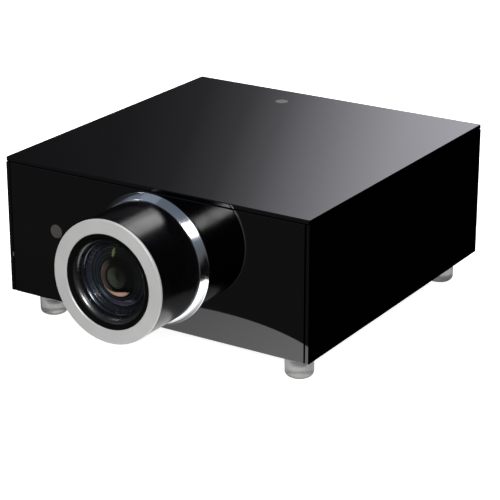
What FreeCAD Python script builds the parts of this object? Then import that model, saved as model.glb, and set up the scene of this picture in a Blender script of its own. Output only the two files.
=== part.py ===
"""Home-cinema projector: a black glass case on four levelling feet, with a wide lens barrel in its front.

Frame: millimetres, +Z up, the lens looks along -Y. The origin is the middle of the whole footprint, on the
surface that the feet stand on. Depths written as `case_y(n)` are n mm behind the case's front face, and
depths written as `lens_y(n)` are n mm behind the lens's front face.
"""
import FreeCAD
import Part
import math
import os

from FreeCAD import Vector

# ---- Driving dimensions: case ----
CASE_WIDTH = 464.0
CASE_DEPTH = 464.0
CASE_HEIGHT = 188.0
GROUND_GAP = 38.0          # from the surface up to the lower edge of the glass
GLASS = 6.0                # thickness of every glass panel
GLASS_ARRIS = 1.0          # polished 45 degree edge of each panel
CORNER_DUB = 2.0           # cut corner of the top panel
PANEL_GAP = 0.6            # open joint between two glass panels
SHEET = 1.5                # folded sheet metal
REAR_RECESS = 8.0          # how far the rear panel sits inside the glass
TRAY_LIFT = 1.5            # the tray's underside above the glass's lower edge
TRAY_FLANGE = 14.0
FRAME_BAR = 14.0           # width of the frame that the glass is bonded to
FRAME_WALL = 3.0
SLIP = 0.3                 # gap left round pieces that are slid or dropped into place
RUNNING = 0.05             # radial clearance of a shaft in its bearing

# ---- Driving dimensions: lens ----
LENS_REACH = 96.0          # lens front face ahead of the case
LENS_HEIGHT = 91.8         # lens axis above the glass's lower edge
RING_RADIUS = 81.0         # silver front ring
RING_BORE = 62.5
RING_THICK = 5.0
BARREL_RADIUS = RING_RADIUS - 0.4
BARREL_WALL = 2.6
COLLAR_RADIUS = BARREL_RADIUS + 7.4
COLLAR_WIDTH = 12.0
COLLAR_CLEAR = 0.5         # the collar slides this far in front of the glass
COLLAR_LIP = 1.3           # flat front edge of the flared collar
COLLAR_EDGE = 0.9          # thickness of its widest rim
FLANGE_GAP = 2.0           # from the barrel's rear flange to the glass
FLANGE_THICK = 4.0
HOOD_DEPTH = 37.0
HOOD_WALL = 2.4
HOOD_STEP = 7.0
HOOD_LIP = 0.7              # the flare ends this far outside the front lens
FLARE_FRONT = 4.4          # the hood's flare starts and ends so far behind the lens face
FLARE_BACK = 12.2
TUBE_RADIUS = 50.0
CELL_RADIUS = TUBE_RADIUS - 4.2           # focus cell, which slides in the tube
CELL_HEAD_RADIUS = TUBE_RADIUS + 1.0      # its wider head, which carries the front lens
ELEMENT_RADIUS = CELL_HEAD_RADIUS - 2.7   # front lens
ZOOM_CELL_RADIUS = TUBE_RADIUS - 12.0
ZOOM_ELEMENT_RADIUS = ZOOM_CELL_RADIUS - 5.0
REAR_LENS_RADIUS = 24.0
TUBE_FRONT = 29.0          # this and the next places are behind the lens face
FOCUS_CELL_FRONT = 15.4
FOCUS_HEAD_LENGTH = 9.6
FOCUS_CELL_LENGTH = 26.6
FOCUS_PIN = 36.5
BAFFLE_RADIUS = CELL_RADIUS - 9.3
ELEMENT_FRONT = 18.6
ELEMENT_EDGE = 4.0
RETAINER_WIDTH = 2.2
SECOND_EDGE = 6.4          # rim of the lens behind the front one, and how far its face bulges
SECOND_BULGE = 7.8
ZOOM_CELL_FRONT = 52.0
ZOOM_CELL_LENGTH = 26.0
ZOOM_PIN = 70.0
ZOOM_ELEMENT_FRONT = 58.0
ZOOM_EDGE = 5.0
PIN_RADIUS = 2.0
LENS_HOLE = 62.0           # hole in the front glass
SHIFT_TRAVEL = 6.0         # lens shift, up and down
FOCUS_TRAVEL = 2.5
ZOOM_TRAVEL = 7.0

# ---- Driving dimensions: feet ----
FOOT_RADIUS = 18.8
FOOT_ROUND = 7.0
FOOT_INSET_X = 38.2
FOOT_INSET_FRONT = 42.3
FOOT_INSET_REAR = 35.0
FOOT_TOP_GAP = 1.0         # between the foot and the tray when screwed right in
STUD_RADIUS = 4.0
STUD_FLANGE = 8.0
STUD_LOW = 15.0            # the flange's underside above the surface
STUD_FLANGE_THICK = 3.0
BOSS_RADIUS = 9.0          # the tray's boss that each stud screws into
BOSS_HEIGHT = 20.0
FOOT_FLUTES = 24
FLUTE_RADIUS = 1.2
FLUTE_DEPTH = 0.5
FLUTE_HEIGHT = 9.0

# ---- Driving dimensions: gears of the focus and zoom drives ----
GEAR_MODULE = 1.5
RING_TEETH = 74
PINION_TEETH = 12
GEAR_WIDTH = 8.0
GEAR_PLAY = 0.35           # tooth thinning at the pitch circle
PINION_SHAFT = 1.5

# ---- Driving dimensions: mounts and openings ----
MOUNT_SPACING_X = 220.0    # ceiling-mount inserts
MOUNT_SPACING_Y = 220.0
MOUNT_HOLE = 3.0
MOUNT_INSERT = 6.0
MOUNT_DEPTH = 12.0
FAN_SIZE = 92.0
FAN_DEPTH = 25.0
FAN_WALL = 2.0
FAN_HUB = 17.0
FAN_BLADES = 7
FAN_STUB = 3.0
SLOT_HALF = 1.8            # half the width of the fan and lamp slots
SLOT_PITCH = 8.0
FAN_SLOTS = 11
LAMP_SLOTS = 9
WINDOW_RADIUS = 9.3        # infrared windows
WINDOW_SINK = 0.15

# ---- Places that follow from them ----
FRONT = -(CASE_DEPTH + LENS_REACH) / 2 + LENS_REACH
LENS_FACE = FRONT - LENS_REACH
AXIS_Z = GROUND_GAP + LENS_HEIGHT
CASE_TOP = GROUND_GAP + CASE_HEIGHT
HALF = CASE_WIDTH / 2
INSIDE_X = HALF - GLASS                       # inner face of a side panel
GLASS_TOP = CASE_TOP - GLASS - PANEL_GAP      # upper edge of the front and side panels
TRAY_Z = GROUND_GAP + TRAY_LIFT
TRAY_TOP = TRAY_Z + SHEET
REAR = CASE_DEPTH - REAR_RECESS               # rear panel's outer face, as a case depth
FRAME_X = INSIDE_X - FRAME_WALL
CEILING = CASE_TOP - GLASS                    # underside of the top glass
FOOT_TOP = TRAY_Z - FOOT_TOP_GAP
FOOT_PLACES = {
    "front_left": (-HALF + FOOT_INSET_X, FOOT_INSET_FRONT),
    "front_right": (HALF - FOOT_INSET_X, FOOT_INSET_FRONT),
    "rear_left": (-HALF + FOOT_INSET_X, CASE_DEPTH - FOOT_INSET_REAR),
    "rear_right": (HALF - FOOT_INSET_X, CASE_DEPTH - FOOT_INSET_REAR),
}

TOP_WINDOW = (-60.0, FRONT + 413.0)                # x, y
FRONT_WINDOW = (-152.0, GROUND_GAP + 99.0)         # x, z
MOUNT_Y = FRONT + CASE_DEPTH / 2
INTAKE_X = -165.0
INTAKE_Y = FRONT + 102.0
ELEMENT_BACK = ELEMENT_FRONT + ELEMENT_EDGE
SECOND_RADIUS = BAFFLE_RADIUS + 6.2 - RUNNING
SECOND_SEAT = FOCUS_CELL_FRONT + FOCUS_CELL_LENGTH - 9
BARREL_BACK = LENS_REACH - FLANGE_GAP

# ---- Lens drive ----
PLATE_FRONT = 38.0                            # carriage plate, as a case depth
PLATE_THICK = 8.0
PLATE_MIDDLE = PLATE_FRONT + PLATE_THICK / 2
PLATE_HALF_X = 90.0
PLATE_HALF_Z = 54.0
ROD_X = 80.0
ROD_RADIUS = 4.0
SCREW_X = 66.0
SCREW_RADIUS = 3.0
SCREW_END = 2.0
ZOOM_GEAR_Y = PLATE_FRONT - SLIP - GEAR_WIDTH
FOCUS_GEAR_Y = ZOOM_GEAR_Y - SLIP - GEAR_WIDTH
GEAR_SHOULDER = 3.0
RING_PITCH = GEAR_MODULE * RING_TEETH / 2
PINION_PITCH = GEAR_MODULE * PINION_TEETH / 2
PINION_REACH = RING_PITCH + PINION_PITCH
FOCUS_ANGLE = 135.0                           # where each pinion stands round the tube
ZOOM_ANGLE = 45.0
MOTOR_RADIUS = 10.5
MOTOR_LENGTH = 30.0
TUBE_BACK = 105.0                             # rear end of the lens tube, as a case depth
TUBE_REAR_RADIUS = 35.0
ZOOM_BORE_FRONT = ZOOM_CELL_FRONT - LENS_REACH - 6.5      # where the bore narrows, as a case depth
MOUNT_BAR = 9.0
MOUNT_BAR_LOW = AXIS_Z - PLATE_HALF_Z - SHIFT_TRAVEL - 6.0
MOUNT_BAR_HIGH = AXIS_Z + PLATE_HALF_Z + SHIFT_TRAVEL + 6.0
MOUNT_SIDE = PLATE_HALF_X + 5.0
SCREW_TOP = MOUNT_BAR_HIGH + MOUNT_BAR + 7.0

# ---- Light engine ----
ENGINE_FRONT = 112.0
ENGINE_BACK = 205.0
ENGINE_LOW = AXIS_Z - 36.0
ENGINE_HIGH = AXIS_Z + 36.0
ENGINE_WALL = 3.0
ENGINE_HALF = 45.0
LAMP_X = INSIDE_X - 68.0
ARM_HALF = 36.0
TUNNEL_BACK = 296.0
TUNNEL_FRONT = 232.0
TUNNEL_SIDE = 12.0
CHIP_HALF_X = 14.0
CHIP_HALF_Z = 10.0
ARM_BACK = 284.0
WHEEL_Y = 302.0
WHEEL_RADIUS = 32.0
WHEEL_THICK = 1.2
WHEEL_OFFSET = 25.0
WHEEL_SHAFT = 2.0
LAMP_FRONT = 335.0
LAMP_HALF = 52.0
LAMP_DOOR_HALF_X = 58.0
LAMP_DOOR_HALF_Z = 60.0
DOOR_THICK = 2.0
BAY_WALL = 1.2
BAY_LOW = AXIS_Z - LAMP_HALF - SLIP
REFLECTOR_RADIUS = 44.0
REFLECTOR_DEPTH = 52.0

# ---- Rear panel layout ----
EXHAUST_X = 44.0
EXHAUST_PLACE = ("back", EXHAUST_X, FRONT + REAR - SHEET - FAN_DEPTH, AXIS_Z)
INTAKE_PLACE = ("up", INTAKE_X, INTAKE_Y, TRAY_TOP)
LOWER_SLOTS = 25
LOWER_PITCH = 7.5
BOARD_Z = 100.0
BOARD_THICK = 1.6
BOARD_LEFT = -210.0
BOARD_RIGHT = -16.0
BOARD_FRONT = 262.0
BOARD_BACK = REAR - SHEET - 1.0
INLET_X = -188.0
INLET_Z = 172.0
ROCKER_X = -150.0
KEY_X = -62.0
KEY_Z = 172.0
KEY_PITCH = 15.0
KEY_RADIUS = 5.0
KEY_TRAVEL = 1.2
SWITCH_TOP = 4.4           # the key switches' faces, inside the panel
KEY_STAND = 2.5
KEY_DOME = 0.8
KEYS = {"up": (0, 1), "down": (0, -1), "left": (1, 0), "right": (-1, 0), "select": (0, 0)}
INLET_HALF_X = 13.5
INLET_HALF_Z = 10.0
ROCKER_HALF_X = 6.9
ROCKER_HALF_Z = 10.8
ROCKER_TILT = 8.0
LOW_SCREW_Z = TRAY_TOP + 7.0
HIGH_SCREW_Z = CEILING - 12.0
SCREW_SHANK = 1.5
SCREW_LENGTH = 6.0
CORNER_SCREW = INSIDE_X - 10.0
REAR_SCREWS = [
    (-CORNER_SCREW, LOW_SCREW_Z), (-100, LOW_SCREW_Z), (-16, LOW_SCREW_Z),
    (90, LOW_SCREW_Z), (CORNER_SCREW, LOW_SCREW_Z),
    (-CORNER_SCREW, HIGH_SCREW_Z), (-100, HIGH_SCREW_Z), (-16, HIGH_SCREW_Z), (90, HIGH_SCREW_Z),
]
# Half width, lowest and highest point above the board of each kind of socket.
CONNECTOR_SIZES = {
    "hdmi": (7.5, 0.6, 6.2),
    "usb": (6.2, 0.6, 11.0),
    "network": (8.0, 0.6, 13.6),
    "dsub": (15.5, 0.6, 12.6),
    "round": (4.4, 3.6, 12.4),
    "jack": (3.6, 2.4, 9.6),
}
CONNECTOR_PLACES = [
    ("hdmi", -202.0), ("hdmi", -183.0), ("network", -164.0), ("usb", -145.0), ("dsub", -121.0),
    ("dsub", -86.0), ("round", -61.0), ("round", -49.0), ("round", -37.0), ("jack", -27.0),
]

# ---- Electronics inside ----
# Chips and terminal blocks on the main board: x, case depth, width, depth, height.
CHIPS = [
    (-170, 300, 34, 34, 3), (-110, 310, 28, 28, 3), (-60, 300, 20, 14, 2.5), (-60, 330, 20, 14, 2.5),
    (-150, 360, 18, 24, 2.5), (-110, 365, 12, 30, 8), (-190, 400, 22, 10, 5), (-80, 395, 30, 8, 6),
]
CAPACITORS = 6
CAPACITOR_PITCH = 16.0
KEYPAD_HALF = 24.0
SUPPLY_LEFT = -198.0
SUPPLY_RIGHT = -122.0
SUPPLY_FRONT = 180.0
SUPPLY_BACK = 412.0
SUPPLY_LIFT = 6.0
BALLAST_LEFT = 119.0
BALLAST_RIGHT = 214.0
BALLAST_FRONT = 58.0
BALLAST_BACK = 134.0
BALLAST_HIGH = 32.0
FIN_PITCH = 7.0
LEG_RADIUS = 3.0


def case_y(depth):
    """Y of a point so far behind the case's front face."""
    return FRONT + depth


def lens_y(depth):
    """Y of a point so far behind the lens's front face."""
    return LENS_FACE + depth


# ---- Shape helpers ----
def box(x0, x1, y0, y1, z0, z1):
    return Part.makeBox(x1 - x0, y1 - y0, z1 - z0, Vector(x0, y0, z0))


def rod(radius, start, end):
    """A cylinder between two points."""
    start, end = Vector(*start), Vector(*end)
    return Part.makeCylinder(radius, (end - start).Length, start, end - start)


def fuse(shapes):
    """One solid from touching shapes."""
    first, *rest = shapes
    return first.multiFuse(rest).removeSplitter() if rest else first


def cut(shape, tools):
    return shape.cut(Part.makeCompound(tools)) if tools else shape


def outline(points):
    """A closed wire in the XY plane. A point is (x, y), or (x, y, mx, my) for an arc through (mx, my)."""
    edges = []
    last = Vector(points[-1][0], points[-1][1], 0)
    for point in points:
        here = Vector(point[0], point[1], 0)
        if len(point) == 4:
            edges.append(Part.Arc(last, Vector(point[2], point[3], 0), here).toShape())
        elif (here - last).Length > 1e-6:
            edges.append(Part.LineSegment(last, here).toShape())
        last = here
    return Part.Wire(edges)


def turned(points, centre_x=0.0, centre_z=AXIS_Z):
    """A solid turned about a line along Y. Points are (radius, y)."""
    face = Part.Face(outline(points))
    solid = face.revolve(Vector(0, 0, 0), Vector(0, 1, 0), 360)
    solid.translate(Vector(centre_x, 0, centre_z))
    return solid


def turned_up(points, centre_x, centre_y):
    """A solid turned about an upright line. Points are (radius, z)."""
    solid = Part.Face(outline(points)).revolve(Vector(0, 0, 0), Vector(0, 1, 0), 360)
    solid.rotate(Vector(0, 0, 0), Vector(1, 0, 0), 90)
    solid.translate(Vector(centre_x, centre_y, 0))
    return solid


def slot(x0, x1, z0, z1, y0, y1):
    """A round-ended slot cutter through a panel that faces along Y, longer one way than the other."""
    radius = min(x1 - x0, z1 - z0) / 2
    if x1 - x0 > z1 - z0:
        middle = (z0 + z1) / 2
        ends = [(x0 + radius, middle), (x1 - radius, middle)]
        core = box(x0 + radius, x1 - radius, y0, y1, z0, z1)
    else:
        middle = (x0 + x1) / 2
        ends = [(middle, z0 + radius), (middle, z1 - radius)]
        core = box(x0, x1, y0, y1, z0 + radius, z1 - radius)
    return fuse([core] + [rod(radius, (x, y0, z), (x, y1, z)) for x, z in ends])


def floor_slot(x0, x1, y0, y1, z0, z1):
    """A round-ended slot cutter through a horizontal sheet, its length along Y."""
    radius = (x1 - x0) / 2
    middle = (x0 + x1) / 2
    ends = [(middle, y0 + radius), (middle, y1 - radius)]
    core = box(x0, x1, y0 + radius, y1 - radius, z0, z1)
    return fuse([core] + [rod(radius, (x, y, z0), (x, y, z1)) for x, y in ends])


def bevelled_box(x0, x1, y0, y1, z0, z1, arris, corner=0.0):
    """A glass sheet with polished edges, and cut upright corners where `corner` is given."""
    sheet = box(x0, x1, y0, y1, z0, z1)
    if not corner:
        return sheet.makeChamfer(arris, sheet.Edges)
    sheet = sheet.makeChamfer(corner, upright_edges(sheet))
    skip = [e.hashCode() for e in upright_edges(sheet)]
    return sheet.makeChamfer(arris, [e for e in sheet.Edges if e.hashCode() not in skip])


def upright_edges(shape):
    return [e for e in shape.Edges if abs(e.tangentAt(e.FirstParameter).z) > 0.9]


def screw(place, direction, head=3.2):
    """A pan-head screw with a cross recess. Its head stands on `place`, and points along `direction`."""
    up = Vector(*direction)
    base = Vector(*place)
    body = Part.makeCylinder(head, 1.8, base, up)
    rim = [e for e in body.Edges if (e.CenterOfMass - base).dot(up) > 1.7 and e.Length > 5]
    body = body.makeFillet(0.9, rim)
    side = Vector(1, 0, 0)
    across = up.cross(side)
    cuts = []
    for long_way, short_way in ((side, across), (across, side)):
        corner = base + up * 0.9 - long_way * head * 0.55 - short_way * 0.35
        face = Part.Face(Part.makePolygon([
            corner,
            corner + long_way * head * 1.1,
            corner + long_way * head * 1.1 + short_way * 0.7,
            corner + short_way * 0.7,
            corner,
        ]))
        cuts.append(face.extrude(up * 2))
    shaft = Part.makeCylinder(SCREW_SHANK, SCREW_LENGTH, base - up * SCREW_LENGTH, up)
    return fuse([cut(body, cuts), shaft])


def involute(angle):
    return math.tan(angle) - angle


def gear(teeth, y0, width, bore, phase, centre_x, centre_z, addendum):
    """A spur gear about a line along Y, with a tooth's middle at `phase` degrees from +X towards +Z."""
    pitch = GEAR_MODULE * teeth / 2
    pressure = math.radians(20)
    base = pitch * math.cos(pressure)
    root = pitch - 1.25 * GEAR_MODULE
    tip = pitch + addendum * GEAR_MODULE
    half = (math.pi * GEAR_MODULE / 2 - GEAR_PLAY) / (2 * pitch) + involute(pressure)
    radii = [max(base, root) + (tip - max(base, root)) * k / 3 for k in range(4)]
    flank = [(r, half - involute(math.acos(min(1, base / r)))) for r in radii]
    if root < base:
        flank.insert(0, (root, flank[0][1]))
    points = []
    for n in range(teeth):
        middle = math.radians(phase) + 2 * math.pi * n / teeth
        for r, away in flank:
            points.append((r * math.cos(middle - away), r * math.sin(middle - away)))
        for r, away in reversed(flank):
            points.append((r * math.cos(middle + away), r * math.sin(middle + away)))
    wire = Part.makePolygon([Vector(x, y0, z) for x, z in points + points[:1]])
    hole = Part.Wire(Part.makeCircle(bore, Vector(0, y0, 0), Vector(0, 1, 0)))
    body = Part.Face(wire).extrude(Vector(0, width, 0))
    body = body.cut(Part.Face(hole).extrude(Vector(0, width, 0)))
    body.translate(Vector(centre_x, 0, centre_z))
    return body


# ---- Case ----
def top_glass():
    sheet = bevelled_box(-HALF, HALF, FRONT, FRONT + CASE_DEPTH, CEILING, CASE_TOP, GLASS_ARRIS, CORNER_DUB)
    x, y = TOP_WINDOW
    return cut(sheet, [rod(WINDOW_RADIUS + RUNNING, (x, y, CEILING - 1), (x, y, CASE_TOP + 1))])


def front_glass():
    side = INSIDE_X - PANEL_GAP
    sheet = bevelled_box(-side, side, FRONT, FRONT + GLASS, GROUND_GAP, GLASS_TOP, GLASS_ARRIS)
    x, z = FRONT_WINDOW
    return cut(sheet, [
        rod(LENS_HOLE, (0, FRONT - 1, AXIS_Z), (0, FRONT + GLASS + 1, AXIS_Z)),
        rod(WINDOW_RADIUS + RUNNING, (x, FRONT - 1, z), (x, FRONT + GLASS + 1, z)),
    ])


def infrared_windows():
    """The two round windows for the remote control, let into the front and the top glass."""
    x, z = FRONT_WINDOW
    front = rod(WINDOW_RADIUS, (x, FRONT + WINDOW_SINK, z), (x, FRONT + GLASS, z))
    x, y = TOP_WINDOW
    return Part.makeCompound([front, rod(WINDOW_RADIUS, (x, y, CEILING), (x, y, CASE_TOP - WINDOW_SINK))])


def side_glass(side):
    low, high = sorted((side * INSIDE_X, side * HALF))
    return bevelled_box(low, high, FRONT, FRONT + CASE_DEPTH, GROUND_GAP, GLASS_TOP, GLASS_ARRIS)


def glass_frame():
    """Corner posts and an upper rim of angle section, which the glass is bonded to."""
    front = case_y(GLASS)
    back = case_y(REAR - SHEET)
    rim = box(-INSIDE_X, INSIDE_X, front, back, CEILING - FRAME_WALL, CEILING).cut(
        box(-INSIDE_X + FRAME_BAR, INSIDE_X - FRAME_BAR, front + FRAME_BAR, back - FRAME_BAR,
            CEILING - FRAME_WALL, CEILING))
    skirt = box(-INSIDE_X, INSIDE_X, front, back, GLASS_TOP - FRAME_BAR, CEILING - FRAME_WALL).cut(
        box(-FRAME_X, FRAME_X, front + FRAME_WALL, back - FRAME_WALL, GLASS_TOP - FRAME_BAR, CEILING))
    posts = []
    for x in (-1, 1):
        for y0, inward in ((front, 1), (back, -1)):
            across = sorted((x * INSIDE_X, x * (INSIDE_X - FRAME_BAR)))
            thin = sorted((x * INSIDE_X, x * FRAME_X))
            deep = sorted((y0, y0 + inward * FRAME_BAR))
            flat = sorted((y0, y0 + inward * FRAME_WALL))
            posts.append(box(*across, *flat, TRAY_TOP, CEILING - FRAME_WALL))
            posts.append(box(*thin, *deep, TRAY_TOP, CEILING - FRAME_WALL))
    return fuse([rim, skirt] + posts)


def base_tray():
    """Folded tray with bosses for the feet, mount inserts and the air inlet under the intake fan."""
    front = case_y(GLASS)
    back = case_y(REAR - SHEET)
    sheet = box(-INSIDE_X, INSIDE_X, front, back, TRAY_Z, TRAY_TOP)
    edge = INSIDE_X - FRAME_WALL - SLIP
    high = TRAY_TOP + TRAY_FLANGE
    y0, y1 = front + FRAME_WALL + SLIP, back - FRAME_WALL - SLIP
    flange = box(-edge, edge, y0, y1, TRAY_TOP, high)
    inner = edge - SHEET
    flange = flange.cut(box(-inner, inner, y0 + SHEET, y1 - SHEET, TRAY_TOP, high))
    gaps = [box(sx - FRAME_BAR, sx + FRAME_BAR, sy - FRAME_BAR, sy + FRAME_BAR, TRAY_TOP, high)
            for sx in (-INSIDE_X, INSIDE_X) for sy in (front, back)]
    pieces = [sheet, cut(flange, gaps)]
    holes = []
    for x, depth in FOOT_PLACES.values():
        y = case_y(depth)
        pieces.append(rod(BOSS_RADIUS, (x, y, TRAY_TOP), (x, y, TRAY_TOP + BOSS_HEIGHT)))
        holes.append(rod(STUD_RADIUS + RUNNING, (x, y, TRAY_Z - 1), (x, y, TRAY_TOP + BOSS_HEIGHT + 1)))
    for x in (-MOUNT_SPACING_X / 2, MOUNT_SPACING_X / 2):
        for y in (MOUNT_Y - MOUNT_SPACING_Y / 2, MOUNT_Y + MOUNT_SPACING_Y / 2):
            pieces.append(rod(MOUNT_INSERT, (x, y, TRAY_Z), (x, y, TRAY_Z + MOUNT_DEPTH + 2)))
            holes.append(rod(MOUNT_HOLE, (x, y, TRAY_Z - 1), (x, y, TRAY_Z + MOUNT_DEPTH)))
    for x in slot_places(FAN_SLOTS, INTAKE_X):
        reach = math.sqrt((FAN_SIZE / 2 - 3) ** 2 - (x - INTAKE_X) ** 2)
        holes.append(tray_slot(x, INTAKE_Y - reach, INTAKE_Y + reach))
    for x in slot_places(LAMP_SLOTS, LAMP_X):
        holes.append(tray_slot(x, case_y(LAMP_FRONT + 15), case_y(REAR - 46)))
    return cut(fuse(pieces), holes)


def slot_places(count, middle):
    """Middles of evenly spaced air slots."""
    return [middle + (n - (count - 1) / 2) * SLOT_PITCH for n in range(count)]


def tray_slot(x, y0, y1):
    return floor_slot(x - SLOT_HALF, x + SLOT_HALF, y0, y1, TRAY_Z - 1, TRAY_TOP + 1)


def rear_panel():
    """Sheet panel with the fan grille, the lamp bay's mouth, the sockets' holes and the keypad's holes."""
    back = case_y(REAR)
    front = back - SHEET
    y0, y1 = front - 1, back + 1
    panel = box(-INSIDE_X + SLIP, INSIDE_X - SLIP, front, back, TRAY_Z, CEILING - SLIP)
    mouth = LAMP_HALF + 1
    holes = [box(LAMP_X - mouth, LAMP_X + mouth, y0, y1, AXIS_Z - mouth, AXIS_Z + mouth)]
    for z in slot_places(FAN_SLOTS, AXIS_Z):
        reach = math.sqrt((FAN_SIZE / 2 - FAN_WALL) ** 2 - (z - AXIS_Z) ** 2)
        for low, high in ((EXHAUST_X - reach, EXHAUST_X - 2), (EXHAUST_X + 2, EXHAUST_X + reach)):
            holes.append(slot(low, high, z - SLOT_HALF, z + SLOT_HALF, y0, y1))
    for n in range(LOWER_SLOTS):
        x = BOARD_LEFT + 12 + n * LOWER_PITCH
        holes.append(slot(x - 1.6, x + 1.6, TRAY_TOP + 16, BOARD_Z - 10, y0, y1))
    mains = ((INLET_X, INLET_HALF_X, INLET_HALF_Z), (ROCKER_X, ROCKER_HALF_X, ROCKER_HALF_Z))
    for x, half_x, half_z in mains:
        wide, tall = half_x + 0.2, half_z + 0.2
        holes.append(box(x - wide, x + wide, y0, y1, INLET_Z - tall, INLET_Z + tall))
    for x, z in key_places().values():
        holes.append(rod(KEY_RADIUS + 0.2, (x, y0, z), (x, y1, z)))
    for name, x in CONNECTOR_PLACES:
        half, low, high = CONNECTOR_SIZES[name]
        base = BOARD_Z + BOARD_THICK
        if name in ("round", "jack"):
            middle = base + (low + high) / 2
            holes.append(rod(half + SLIP, (x, y0, middle), (x, y1, middle)))
        else:
            holes.append(box(x - half - SLIP, x + half + SLIP, y0, y1, base - SLIP, base + high + SLIP))
    holes.append(slot(-12.5, -5.5, 54.5, 57.5, y0, y1))
    return cut(panel, holes)


def key_places():
    """Centre of each key on the rear panel."""
    return {name: (KEY_X + dx * KEY_PITCH, KEY_Z + dz * KEY_PITCH) for name, (dx, dz) in KEYS.items()}


# ---- Feet ----
def foot_stud(x, depth):
    """Threaded stud with the flange that turns inside the foot, drawn without its thread."""
    y = case_y(depth)
    return fuse([
        rod(STUD_FLANGE, (x, y, STUD_LOW), (x, y, STUD_LOW + STUD_FLANGE_THICK)),
        rod(STUD_RADIUS, (x, y, STUD_LOW), (x, y, TRAY_TOP + BOSS_HEIGHT)),
    ])


def foot_pad(x, depth):
    """Clear moulded foot with a rounded lower edge, grip flutes and a pocket for the stud's flange."""
    low = STUD_LOW - RUNNING
    high = STUD_LOW + STUD_FLANGE_THICK + RUNNING
    bend = FOOT_ROUND * (1 - math.sqrt(0.5))
    flat = FOOT_RADIUS - FOOT_ROUND
    body = turned_up([
        (0, 0),
        (flat, 0),
        (FOOT_RADIUS, FOOT_ROUND, FOOT_RADIUS - bend, bend),
        (FOOT_RADIUS, FOOT_TOP - 1.0),
        (FOOT_RADIUS - 1.0, FOOT_TOP),
        (STUD_RADIUS + RUNNING, FOOT_TOP),
        (STUD_RADIUS + RUNNING, high),
        (STUD_FLANGE + RUNNING, high),
        (STUD_FLANGE + RUNNING, low),
        (0, low),
    ], x, case_y(depth))
    flutes = []
    for n in range(FOOT_FLUTES):
        angle = 2 * math.pi * n / FOOT_FLUTES
        reach = FOOT_RADIUS + FLUTE_RADIUS - FLUTE_DEPTH
        fx, fy = x + reach * math.cos(angle), case_y(depth) + reach * math.sin(angle)
        flutes.append(rod(FLUTE_RADIUS, (fx, fy, FOOT_TOP - FLUTE_HEIGHT), (fx, fy, FOOT_TOP + 1)))
    return cut(body, flutes)


# ---- Lens ----
def front_ring():
    """Satin silver ring with a spigot behind it that centres it in the barrel."""
    spigot = BARREL_RADIUS - BARREL_WALL - RUNNING
    arris = 0.7
    return turned([
        (RING_BORE, lens_y(arris)),
        (RING_BORE + arris, lens_y(0)),
        (RING_RADIUS - arris, lens_y(0)),
        (RING_RADIUS, lens_y(arris)),
        (RING_RADIUS, lens_y(RING_THICK)),
        (spigot, lens_y(RING_THICK)),
        (spigot, lens_y(RING_THICK + 4)),
        (spigot - 2, lens_y(RING_THICK + 4)),
        (spigot - 2, lens_y(RING_THICK)),
        (RING_BORE, lens_y(RING_THICK)),
    ])


def barrel_shroud():
    """Gloss black barrel, closed behind by a flange that is fixed round the lens tube."""
    return turned([
        (BARREL_RADIUS - BARREL_WALL, lens_y(RING_THICK)),
        (BARREL_RADIUS, lens_y(RING_THICK)),
        (BARREL_RADIUS, lens_y(BARREL_BACK)),
        (TUBE_RADIUS, lens_y(BARREL_BACK)),
        (TUBE_RADIUS, lens_y(BARREL_BACK - FLANGE_THICK)),
        (BARREL_RADIUS - BARREL_WALL, lens_y(BARREL_BACK - FLANGE_THICK)),
    ])


def collar_ring():
    """Polished collar round the barrel's foot, flared like a cone towards the glass."""
    front = LENS_REACH - COLLAR_WIDTH
    back = LENS_REACH - COLLAR_CLEAR
    return turned([
        (BARREL_RADIUS, lens_y(front)),
        (BARREL_RADIUS + COLLAR_LIP, lens_y(front)),
        (COLLAR_RADIUS, lens_y(back - COLLAR_EDGE)),
        (COLLAR_RADIUS, lens_y(back)),
        (BARREL_RADIUS, lens_y(back)),
    ])


def lens_hood():
    """Black funnel from the silver ring in to the front lens: a matt step, then a gloss flare that ends in a lip."""
    throat = CELL_HEAD_RADIUS + 0.6
    shell = throat + HOOD_WALL
    outer = BARREL_RADIUS - BARREL_WALL - 2 - 10 * RUNNING
    step = RING_BORE - HOOD_STEP
    lip = ELEMENT_RADIUS + HOOD_LIP
    front = RING_THICK
    return turned([
        (outer, lens_y(front)),
        (outer, lens_y(front + 2.5)),
        (step + 2, lens_y(front + 4)),
        (shell, lens_y(front + 13)),
        (shell, lens_y(HOOD_DEPTH)),
        (TUBE_RADIUS, lens_y(HOOD_DEPTH)),
        (TUBE_RADIUS, lens_y(TUBE_FRONT)),
        (throat, lens_y(TUBE_FRONT)),
        (throat, lens_y(FLARE_BACK + 0.3)),
        (lip, lens_y(FLARE_BACK + 0.3)),
        (lip, lens_y(FLARE_BACK)),
        (step, lens_y(FLARE_FRONT), (lip + step) / 2 - 1.2, lens_y((FLARE_FRONT + FLARE_BACK) / 2 - 1.0)),
        (step, lens_y(2.8)),
        (RING_BORE - RUNNING, lens_y(1.8)),
        (RING_BORE - RUNNING, lens_y(front)),
    ])


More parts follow.
